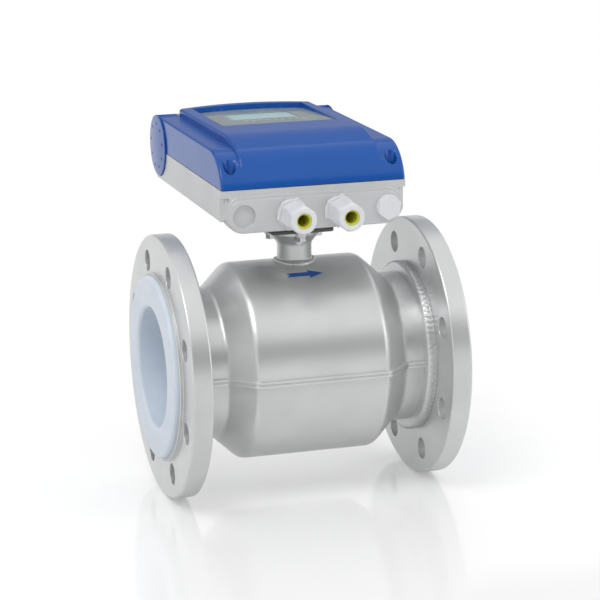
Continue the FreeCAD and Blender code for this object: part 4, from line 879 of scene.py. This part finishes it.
@dataclass
class Sensor:
    """Outside of the measuring tube: flanges, housing, seam, welds, arrow and neck."""

    housing_radius: float = 82.5
    housing_half_length: float = 55.5
    cone_end: float = 76.0
    end_radius: float = 63.5
    slant_share: float = 0.392
    weld_start: float = 92.8
    flange_back: float = 101.0
    weld_radius: float = 71.6
    weld_foot_radius: float = 66.4
    weld_back_radius: float = 70.6
    weld_overlap: float = 0.4
    weld_sunk: float = 1.0
    crown_middle: float = 97.2
    crown_radius: float = 4.8
    crown_below: float = 4.2
    crown_turn: Flat = (155.0, 25.0)
    ripple_count: int = 96
    ripple_middle: float = 97.4
    ripple_rise: float = 0.28
    ripple_outline: tuple[Flat, ...] = ((-2.0, 0.02), (-1.5, 2.3), (0.0, 3.6), (1.5, 2.3), (2.0, 0.02))
    ripple_width: float = 0.14
    seam_offset: float = 2.15
    seam_step: float = 1.6
    shell_roundings: Flat = (6.0, 9.0)
    arrow_middle: Flat = (-0.5, 22.0)
    arrow_length: float = 31.5
    arrow_shaft: float = 5.2
    arrow_head: Flat = (12.0, 11.5)
    arrow_sweep: float = 1.0
    arrow_notch: float = 2.6
    arrow_faces: Flat = (-0.12, 0.16)
    arrow_steps: int = 6
    neck_radius: float = 14.5
    neck_weld_out: float = 1.7
    neck_weld_up: float = 0.5
    neck_weld_steps: int = 120

    def build(self, bench: Bench) -> None:
        """Makes every piece of the sensor."""
        bench.soften(EdgeBreak(0.7, steps=2), "inlet_flange", "outlet_flange", finish="flange_paint")
        bench.soften(EdgeBreak(0.35, steps=2), "upper_shell", "lower_shell")
        bench.soften(EdgeBreak(0.5, steps=2), "neck")
        bench.soften(EdgeBreak(0.6, steps=2), "neck_gasket", finish="gasket_fibre")
        self._welds(bench)
        self._seam(bench)
        self._arrow(bench)
        self._neck_weld(bench)

    def _welds(self, bench: Bench) -> None:
        """Uneven weld beads between the housing and the flanges, with their ripples."""
        for label, side in (("inlet", -1.0), ("outlet", 1.0)):
            start, end = (math.radians(turn) for turn in self.crown_turn)
            crown = arc_points((self.crown_middle, self.weld_radius - self.crown_below),
                               self.crown_radius, start, end, 9)
            back, foot = self.flange_back + self.weld_overlap, self.end_radius - self.weld_sunk
            outline = [(side * along, radius) for along, radius in
                       [(self.weld_start, foot), (self.weld_start, self.weld_foot_radius)] + crown
                       + [(back, self.weld_back_radius), (back, foot)]]
            bead = Shape()
            bead.turn(outline, Axis.X, segments=180, wobble=self._uneven)
            bench.piece(f"{label}_weld", bead.done(60.0), "root", "sensor_paint")
            ripple = Shape()
            ripple.turn(self.ripple_outline, Axis.Y, segments=10)
            ripple.mesh.transform(Matrix.Diagonal((self.ripple_width, 1.0, 1.0, 1.0)))
            ring = Repeat(Pattern.RING, self.ripple_count, self.weld_radius + self.ripple_rise,
                          (side * self.ripple_middle, 0.0, 0.0), (0.0, 90.0, 0.0), uneven=0.1, seed=7)
            bench.piece(f"{label}_weld_ripples", ring.mesh(ripple.done(80.0)), "root", "sensor_paint")

    @staticmethod
    def _uneven(angle: float) -> float:
        """Slow change of a hand-laid bead's height round its ring."""
        return 0.04 * math.sin(5 * angle + 0.7) + 0.03 * math.sin(11 * angle)

    def _outline(self, out: float) -> list[Flat]:
        """Housing's outline from end to end, moved outwards."""
        slant = self.slant_share * out
        foot, corner = self.shell_roundings
        half = [(-self.weld_start, self.end_radius + out),
                (-self.cone_end - slant, self.end_radius + out, max(foot - out, 0.5)),
                (-self.housing_half_length - slant, self.housing_radius + out, corner + out)]
        return rounded(half + [(-place[0], *place[1:]) for place in reversed(half)])

    def _seam(self, bench: Bench) -> None:
        """Thin weld in the groove between the two pressed lips, on both sides."""
        for label, side in (("near", -1.0), ("far", 1.0)):
            line = [Vector((along, side * across, 0.0))
                    for along, across in self._outline(self.seam_offset)]
            path: list[Vector] = []
            for first, last in zip(line, line[1:]):
                steps = max(1, round((last - first).length / self.seam_step))
                path += [first.lerp(last, step / steps) for step in range(steps)]
            bead = Shape()
            bead.tube(path + [line[-1]], lambda share: 0.66 + 0.09 * math.sin(share * 260.0)
                      + 0.05 * math.sin(share * 611.0), sides=8, closed=False)
            bench.piece(f"{label}_seam_weld", bead.done(80.0), "root", "sensor_paint")

    def _arrow(self, bench: Bench) -> None:
        """Flow arrow: a thin blue mark that follows the round of the upper shell."""
        middle, turn = self.arrow_middle
        tail = middle - self.arrow_length / 2
        head = tail + self.arrow_length - self.arrow_head[0]
        tip = tail + self.arrow_length
        shaft, wing = self.arrow_shaft / 2, self.arrow_head[1] / 2
        barb = head - self.arrow_sweep
        outline = [(tail, -shaft), (head, -shaft), (barb, -wing), (tip, 0.0),
                   (barb, wing), (head, shaft), (tail, shaft), (tail + self.arrow_notch, 0.0)]
        steps = self.arrow_steps
        points = []
        for (along, across), (far_along, far_across) in zip(outline, outline[1:] + outline[:1]):
            points += [(along + (far_along - along) * step / steps,
                        across + (far_across - across) * step / steps) for step in range(steps)]
        mark = Shape()
        low, high = ([self._on_shell(along, across, turn, out) for along, across in points]
                     for out in self.arrow_faces)
        rings = [mark.loop(low), mark.loop(high)]
        mark.skin(*rings)
        for ring in rings:
            mark.mesh.faces.new(ring)
        bmesh.ops.triangulate(mark.mesh, faces=[face for face in mark.mesh.faces if len(face.verts) > 4])
        bench.piece("flow_arrow", mark.done(30.0), "root", "cover_blue", finish="arrow_blue")

    def _on_shell(self, along: float, across: float, turn: float, out: float) -> Vector:
        """Point on the shell's round side: across is measured round it, from a turn off the top."""
        angle = math.radians(turn) + across / self.housing_radius
        reach = self.housing_radius + out
        return Vector((along, -reach * math.sin(angle), reach * math.cos(angle)))

    def _neck_weld(self, bench: Bench) -> None:
        """Hand-laid bead round the neck's foot, which rides over the round housing."""
        reach = self.neck_radius + self.neck_weld_out
        path = []
        for step in range(self.neck_weld_steps):
            angle = math.tau * step / self.neck_weld_steps
            across = reach * math.sin(angle)
            height = math.sqrt((self.housing_radius + self.neck_weld_up) ** 2 - across ** 2)
            path.append(Vector((reach * math.cos(angle), across, height)))
        bead = Shape()
        bead.tube(path, lambda share: 1.55 + 0.16 * math.sin(share * math.tau * 31)
                  + 0.1 * math.sin(share * math.tau * 7), sides=12)
        bench.piece("neck_weld", bead.done(80.0), "root", "sensor_paint")


# ---------------------------------------------------------------- converter

@dataclass(frozen=True)
class Window:
    """Sloped and crowned pane in the cover's dome."""

    half_width: float = 50.0
    front: float = 38.0
    back: float = 141.0
    height: float = 192.5
    drop: float = 4.0
    bow: float = 4.0
    dome_half_width: float = 60.0
    crown: float = 1.3
    crown_from: float = 20.0
    crown_run: float = 110.0

    def crowned(self, across: float, along: float) -> float:
        """How far the crown of the dome lies below its middle line at a place."""
        grown = min(max((along - self.crown_from) / self.crown_run, 0.0), 1.0)
        return self.crown * grown * (across / self.dome_half_width) ** 2

    def bowed(self, across: float) -> float:
        """How far the window's back wall lies in front of its middle at a place."""
        return self.bow * (across / self.half_width) ** 2

    def top(self, across: float, along: float) -> float:
        """Height of the pane's upper face at a place."""
        share = (along - self.front) / (self.back - self.front)
        return self.height - self.drop * share - self.crowned(across, along)


def sheet(across: Sequence[float], along: Sequence[float], place: Callable[[float, float], Vector],
          thickness: float, opening: Optional[tuple[Flat, Flat]] = None) -> Shape:
    """Thin sheet on a grid, with an optional opening.

    Args:
        across: Grid lines across, in order.
        along: Grid lines along, in order.
        place: Point of the upper face at a place of the grid.
        thickness: Thickness of the sheet.
        opening: Lowest and highest place of the opening; its sides lie on grid lines.

    Returns:
        The closed sheet.
    """
    def is_open(i: int, j: int) -> bool:
        """Whether a cell of the grid lies in the opening."""
        x, y = (across[i] + across[i + 1]) / 2, (along[j] + along[j + 1]) / 2
        return bool(opening) and opening[0][0] < x < opening[1][0] and opening[0][1] < y < opening[1][1]

    made = Shape()
    down = Vector((0.0, 0.0, thickness))
    cells = [(i, j) for i in range(len(across) - 1) for j in range(len(along) - 1) if not is_open(i, j)]
    corners: dict[tuple[int, int], list[bmesh.types.BMVert]] = {}
    for i, j in cells:
        ring = [(i, j), (i + 1, j), (i + 1, j + 1), (i, j + 1)]
        for at in ring:
            if at not in corners:
                top = place(across[at[0]], along[at[1]])
                corners[at] = made.loop((top, top - down))
        for layer in (0, 1):
            made.mesh.faces.new([corners[at][layer] for at in ring])
        beyond = ((i, j - 1), (i + 1, j), (i, j + 1), (i - 1, j))
        for first, last, neighbour in zip(ring, ring[1:] + ring[:1], beyond):
            if neighbour not in cells:
                made.mesh.faces.new(corners[first] + corners[last][::-1])
    return made


@dataclass
class Converter:
    """Signal converter: die-cast base, hinged cover, cable entries and hinge caps."""

    window: Window = field(default_factory=Window)
    shoulder_height: float = 185.0
    foot_rounding: float = 3.0
    pane_thickness: float = 0.35
    mask_depth: float = 0.75
    mask_thickness: float = 0.3
    mask_opening: tuple[Flat, Flat] = ((-29.5, 75.0), (29.5, 111.5))
    pane_gap: float = 0.2
    pane_rows: int = 8
    mark_row: Point = (4.0, 63.0, 6.4)
    mark_count: int = 9
    mark_half: Flat = (1.8, 0.9)
    mark_rise: float = 0.2
    mark_thickness: float = 0.55

    def build(self, bench: Bench) -> None:
        """Makes every piece of the converter's outside."""
        cuts = tuple(float(across) for across in range(-55, 56, 5))
        bench.soften(EdgeBreak(0.7, self.foot_rounding, self._at_dome_foot, cuts=cuts,
                               shift=self._crowned), "cover")
        self._glazing(bench, cuts)
        bench.soften(EdgeBreak(0.6, steps=2), "converter_base")
        bench.soften(EdgeBreak(0.4, steps=2), "left_hinge_cap", "right_hinge_cap")
        bench.soften(EdgeBreak(0.35, steps=2), "left_cover_screw", "right_cover_screw")
        for side in ("left", "right"):
            bench.soften(EdgeBreak(0.5), f"{side}_gland_body")
            bench.soften(EdgeBreak(0.7), f"{side}_gland_nut")
            bench.soften(EdgeBreak(0.25, steps=2), f"{side}_gland_seal")
        bench.soften(EdgeBreak(0.6), "blanking_plug")

    def _at_dome_foot(self, middle: Vector) -> bool:
        """Whether an edge lies where the dome meets the shoulders."""
        return (abs(abs(middle.x) - self.window.dome_half_width) < 0.2
                and middle.z < self.shoulder_height + 0.2)

    def _crowned(self, point: Vector) -> Vector:
        """Point of the cover's top once the dome is crowned and the window's back wall bowed."""
        moved = point.copy()
        if point.z > self.shoulder_height + 0.4:
            moved.z -= self.window.crowned(point.x, point.y)
            if abs(point.x) < self.window.half_width + 0.3 and abs(point.y - self.window.back) < 0.6:
                moved.y -= self.window.bowed(point.x)
        return moved

    def _under_pane(self, across: float, along: float, depth: float) -> Vector:
        """Point some way under the pane's upper face; the back edge follows the window's bow."""
        if along > self.window.back - 1.0:
            along -= self.window.bowed(across)
        return Vector((across, along, self.window.top(across, along) - depth))

    def _glazing(self, bench: Bench, cuts: Sequence[float]) -> None:
        """Clear pane with a printed mask under it, open over the display's panel."""
        side = self.window.half_width - self.pane_gap
        front, back = self.window.front + self.pane_gap, self.window.back - self.pane_gap
        lines = [-side, *(across for across in cuts if abs(across) < side), side]
        rows = [front, *(front + (back - front) * share / self.pane_rows
                         for share in range(1, self.pane_rows)), back]
        pane = sheet(lines, rows, lambda x, y: self._under_pane(x, y, 0.0), self.pane_thickness)
        bench.piece("window_pane_finished", pane.done(30.0), "cover", "window_glass", ["window_pane"])
        low, high = self.mask_opening
        across = sorted({*lines, low[0], high[0]})
        along = sorted({*rows, low[1], high[1]})
        mask = sheet(across, along, lambda x, y: self._under_pane(x, y, self.mask_depth),
                     self.mask_thickness, self.mask_opening)
        bench.piece("window_mask", mask.done(30.0), "cover", "window_glass", finish="mask_grey")
        middle, row, pitch = self.mark_row
        wide, long = self.mark_half
        dash = sheet((-wide, wide), (-long, long), lambda x, y: Vector((x, y, self.mark_rise)),
                     self.mark_thickness)
        start = self._under_pane(middle - self.mark_count // 2 * pitch, row, self.mask_depth)
        height = self.window.top(0.0, row) - self.mask_depth
        marks = Repeat(Pattern.ROW, self.mark_count, pitch, (start.x, start.y, height))
        bench.piece("window_marks", marks.mesh(dash.done()), "cover", "window_glass", finish="mark_white")


# ---------------------------------------------------------------- display and circuit board

@dataclass
class Electronics:
    """What shows through the window and under the open cover."""

    display_top: float = 183.0
    window: Window = field(default_factory=Window)
    lcd: Point = (29.0, 74.5, 113.2)
    lcd_thickness: float = 1.6
    frame_width: float = 2.0
    lcd_depth: float = 1.25
    sunk: float = 0.2
    key_count: int = 4
    key_row: float = 62.0
    key_pitch: float = 14.0
    ring_outline: tuple[Flat, ...] = ((-0.05, 5.6), (0.06, 5.6), (0.06, 6.0), (-0.05, 6.0))
    board_top: float = 138.6
    terminal_count: int = 8
    terminal_pitch: float = 7.0
    terminal_row: float = -27.0
    terminal_height: float = 11.2
    screw_outline: tuple[Flat, ...] = ((-0.9, 0.01), (-0.9, 2.05), (0.2, 2.05), (0.4, 1.8), (0.4, 0.01))
    slot_size: Point = (3.4, 0.5, 0.1)
    slot_height: float = 0.42
    can_outline: tuple[Flat, ...] = ((-0.2, 0.01), (-0.2, 3.9), (0.6, 4.0), (1.2, 3.7), (1.8, 4.0),
                                     (8.6, 4.0), (9.0, 3.6), (9.0, 0.01))

    def build(self, bench: Bench) -> None:
        """Makes every piece of the electronics."""
        bench.soften(EdgeBreak(0.5, steps=2), "display_housing")
        bench.soften(EdgeBreak(0.5), *(f"key_{number + 1}" for number in range(self.key_count)))
        bench.soften(EdgeBreak(0.35, steps=2), "signal_terminals", "power_terminals")
        self._lcd_module(bench)
        self._key_rings(bench)
        self._terminal_screws(bench)
        self._components(bench)

    def _lcd_module(self, bench: Bench) -> None:
        """Display module that stands on the display plate and reaches up to the window."""
        half, front, back = self.lcd
        rings = []
        for out, depth, radius in ((-self.sunk, self.lcd_depth + 0.25, 0.6),
                                   (-self.sunk, self.lcd_depth, 0.6),
                                   (self.frame_width - 0.5, self.lcd_depth, 1.7),
                                   (self.frame_width, self.lcd_depth + 0.5, 2.2),
                                   (self.frame_width, None, 2.2), (-self.sunk, None, 0.6)):
            path = rounded([(-half - out, front - out, radius), (half + out, front - out, radius),
                            (half + out, back + out, radius), (-half - out, back + out, radius)],
                           closed=True, step=15.0)
            rings.append([Vector((across, along, self.display_top - self.sunk if depth is None
                                  else self.window.top(across, along) - depth)) for across, along in path])
        edge = Shape()
        edge.sweep(rings, closed=True)
        bench.piece("display_module", edge.done(30.0), "root", "display_plastic")
        panel = sheet([half * step / 4 for step in range(-4, 5)], [front, (front + back) / 2, back],
                      lambda x, y: Vector((x, y, self.window.top(x, y) - self.lcd_depth - 0.1)),
                      self.lcd_thickness)
        bench.piece("lcd_panel_finished", panel.done(30.0), "root", "lcd_glass", ["lcd_panel"])

    def _key_rings(self, bench: Bench) -> None:
        """Plain pale ring round each key."""
        ring = Shape()
        ring.turn(self.ring_outline, Axis.Z, segments=32)
        start = -(self.key_count - 1) / 2 * self.key_pitch
        row = Repeat(Pattern.ROW, self.key_count, self.key_pitch, (start, self.key_row, self.display_top))
        bench.piece("key_rings", row.mesh(ring.done()), "root", "display_plastic", finish="mark_white")

    def _terminal_screws(self, bench: Bench) -> None:
        """Slotted clamping screws in the terminals."""
        screw = Shape()
        screw.turn(self.screw_outline, Axis.Z, segments=20)
        slot = bmesh.ops.create_cube(screw.mesh, size=1.0)
        for vertex in slot["verts"]:
            wide, deep, high = (place * part for place, part in zip(vertex.co, self.slot_size))
            vertex.co = Vector((wide, deep, high + self.slot_height))
        template = screw.done(40.0)
        for label, start in (("signal", -54.5), ("power", 5.5)):
            row = Repeat(Pattern.ROW, self.terminal_count, self.terminal_pitch,
                         (start, self.terminal_row, self.board_top + self.terminal_height))
            bench.piece(f"{label}_terminal_screws", row.mesh(template.copy()), "root", "stainless")

    def _components(self, bench: Bench) -> None:
        """Rows of capacitors, chips and small resistors on the main board."""
        can = Shape()
        can.turn(self.can_outline, Axis.Z, segments=24)
        chip = self._block((10.0, 7.0, 1.6), 0.3)
        resistor = self._block((1.8, 3.0, 0.8), 0.15)
        leg = self._block((0.5, 9.2, 0.5), 0.05)
        for name, template, count, pitch, start, along, slot, finish in (
            ("capacitors", can.done(30.0), 5, 12.0, -52.0, -6.0, "terminal_plastic", "component_dark"),
            ("chips", chip, 3, 20.0, 8.0, -4.0, "terminal_plastic", "component_dark"),
            ("chip_legs", leg, 24, 2.0, 3.0, -4.0, "stainless", ""),
            ("resistors", resistor, 18, 6.0, -52.0, 12.0, "terminal_plastic", "component_dark"),
            ("resistor_ends", self._block((1.7, 3.6, 0.7), 0.1), 18, 6.0, -52.0, 12.0, "stainless", ""),
        ):
            row = Repeat(Pattern.ROW, count, pitch, (start, along, self.board_top))
            bench.piece(name, row.mesh(template), "root", slot, finish=finish)

    @staticmethod
    def _block(size: Point, corner: float) -> bpy.types.Mesh:
        """Small block with broken corners, standing on the origin."""
        block = Shape()
        made = bmesh.ops.create_cube(block.mesh, size=1.0)
        for vertex in made["verts"]:
            wide, long, high = vertex.co
            vertex.co = Vector((wide * size[0], long * size[1], (high + 0.46) * size[2]))
        bmesh.ops.bevel(block.mesh, geom=block.mesh.edges[:], offset=corner, segments=1, profile=0.5,
                        affect="EDGES")
        return block.done(20.0)


# ---------------------------------------------------------------- studio

@dataclass
class Studio:
    """Pale floor, white surroundings, soft lamps and the camera."""

    floor_height: float = -0.110
    floor_size: float = 8.0
    floor_lift: float = 0.22
    floor_roughness: float = 0.1
    floor_fade: Flat = (0.35, 1.0)
    front_card: Card = (-1.7, 1.7, -2.4, 0.25, 1.75)
    back_card: Card = (-0.45, 0.65, 0.45, 0.17, 0.75)
    sky: float = 0.62
    eye: Point = (-0.5750, -1.8635, 0.5277)
    yaw: float = 17.28
    pitch: float = 13.84
    roll: float = -0.52
    lens: float = 143.35

    def build(self) -> None:
        """Makes the whole studio."""
        self._floor()
        self._sky()
        self._dark_card("front_card", self.front_card, 0.03, 0.25)
        self._dark_card("back_card", self.back_card, 0.34, 0.03)
        self._lamp("key_lamp", (-0.9, -0.9, 1.9), (0.0, 0.0, 0.05), (1.1, 1.1), 15.0)
        self._lamp("fill_lamp", (1.6, -1.2, 0.9), (0.0, 0.0, 0.0), (1.0, 1.4), 6.0)
        self._lamp("back_lamp", (0.5, 1.8, 1.5), (0.0, 0.0, 0.1), (1.6, 0.8), 9.0)
        self._camera()
        bpy.context.scene.view_settings.view_transform = "Standard"

    def _camera(self) -> None:
        """Places the camera by its eye point and its three turns."""
        yaw, pitch, roll = (math.radians(turn) for turn in (self.yaw, self.pitch, self.roll))
        ahead = Vector((math.sin(yaw) * math.cos(pitch), math.cos(yaw) * math.cos(pitch), -math.sin(pitch)))
        level = Vector((math.cos(yaw), -math.sin(yaw), 0.0))
        rise = level.cross(ahead)
        right = level * math.cos(roll) + rise * math.sin(roll)
        up = rise * math.cos(roll) - level * math.sin(roll)
        data = bpy.data.cameras.new("camera")
        data.lens, data.sensor_width = self.lens, 36.0
        data.clip_start, data.clip_end = 0.05, 50.0
        camera = put("camera", data)
        turn = Matrix((right, up, -ahead)).transposed().to_4x4()
        camera.matrix_world = Matrix.Translation(self.eye) @ turn
        bpy.context.scene.camera = camera

    def _lamp(self, name: str, place: Point, target: Point, size: Flat, power: float) -> None:
        """Adds a soft rectangular lamp.

        Args:
            name: Name of the lamp.
            place: Where it hangs, in metres.
            target: Point that it shines at.
            size: Its two sides in metres.
            power: Its power in watts.
        """
        data = bpy.data.lights.new(name, "AREA")
        data.shape, data.size, data.size_y, data.energy = "RECTANGLE", size[0], size[1], power
        lamp = put(name, data)
        away = Vector(place) - Vector(target)
        lamp.matrix_world = Matrix.Translation(place) @ away.to_track_quat("Z", "Y").to_matrix().to_4x4()
        lamp.visible_camera = False

    def _shown(self, page: NodePage) -> Wire:
        """1 for a ray of the camera, of gloss or through glass, else 0."""
        path = page.node("ShaderNodeLightPath")
        return path[0].either(path[3]).either(path[6])

    def _sky(self) -> None:
        """White to the eye and in gloss, and at a plain level as a light."""
        world = bpy.data.worlds.new("studio")
        world.use_nodes = True
        world.node_tree.nodes.clear()
        page = NodePage(world.node_tree)
        strength = self.sky + self._shown(page) * (1.0 - self.sky)
        light = page.node("ShaderNodeBackground", None, {"Color": WHITE, "Strength": strength})
        page.node("ShaderNodeOutputWorld", None, {"Surface": light[0]})
        bpy.context.scene.world = world

    def _floor(self) -> None:
        """Pale floor with a soft gloss, white to the eye, which keeps the meter's shadow."""
        page = Page("floor")
        grain = page.noise(page.place(), 9.0)
        colour = page.mix(grain, (0.80, 0.80, 0.80), (0.82, 0.82, 0.82))
        shown = self._shown(page)
        lift = page.mix(shown, BLACK, (self.floor_lift,) * 3)
        near = page.node("ShaderNodeBsdfPrincipled", None, {
            "Base Color": colour, "Roughness": self.floor_roughness, "Emission Color": lift,
            "Emission Strength": 1.0})[0]
        white = page.node("ShaderNodeEmission", None, {"Color": WHITE, "Strength": 1.0})[0]
        away = page.node("ShaderNodeVectorMath", {"operation": "LENGTH"}, [page.place()])[1]
        blend = page.node("ShaderNodeMixShader", None,
                          [away.between(*self.floor_fade) * shown, near, white])[0]
        page.node("ShaderNodeOutputMaterial", None, {"Surface": blend})
        half = self.floor_size / 2
        self._card("floor", page.material, [(x * half, y * half, self.floor_height)
                                            for x, y in ((-1, -1), (1, -1), (1, 1), (-1, 1))])

    def _dark_card(self, name: str, place: Card, dim: float, edge: float) -> None:
        """Adds an upright screen seen only in gloss, which gives the paint its depth.

        Args:
            name: Its name.
            place: Its left and right side, its depth, and its lowest and highest edge, in metres.
            dim: Brightness of its middle; its lower and upper edges fade to white.
            edge: Height of each fade in metres.
        """
        left, right, depth, low, high = place
        page = Page(name)
        height = page.parts(page.place())[2]
        middle = height.between(low, low + edge) * (1.0 - height.between(high - 1.6 * edge, high))
        colour = page.mix(middle, WHITE, (dim, dim, dim * 1.1))
        shade = page.node("ShaderNodeEmission", None, {"Color": colour, "Strength": 1.0})[0]
        page.node("ShaderNodeOutputMaterial", None, {"Surface": shade})
        card = self._card(name, page.material, [(left, depth, low), (right, depth, low),
                                                (right, depth, high), (left, depth, high)])
        card.visible_camera = card.visible_diffuse = card.visible_shadow = False
        card.visible_transmission = card.visible_volume_scatter = False

    def _card(self, name: str, material: bpy.types.Material, corners: list[Point]) -> bpy.types.Object:
        """Adds a flat piece of the studio.

        Args:
            name: Its name.
            material: Its material.
            corners: Its corners in metres.

        Returns:
            The object.
        """
        mesh = bpy.data.meshes.new(name)
        mesh.from_pydata(corners, [], [tuple(range(len(corners)))])
        mesh.materials.append(material)
        card = put(name, mesh)
        return card


def main() -> None:
    """Builds and dresses the meter and its studio."""
    logging.basicConfig(level=logging.INFO, format="%(name)s: %(message)s")
    finishes = Finishes()
    finishes.dress()
    bench = Bench(finishes)
    Sensor().build(bench)
    Converter().build(bench)
    Electronics().build(bench)
    Studio().build()


if __name__ == "__main__":
    main()
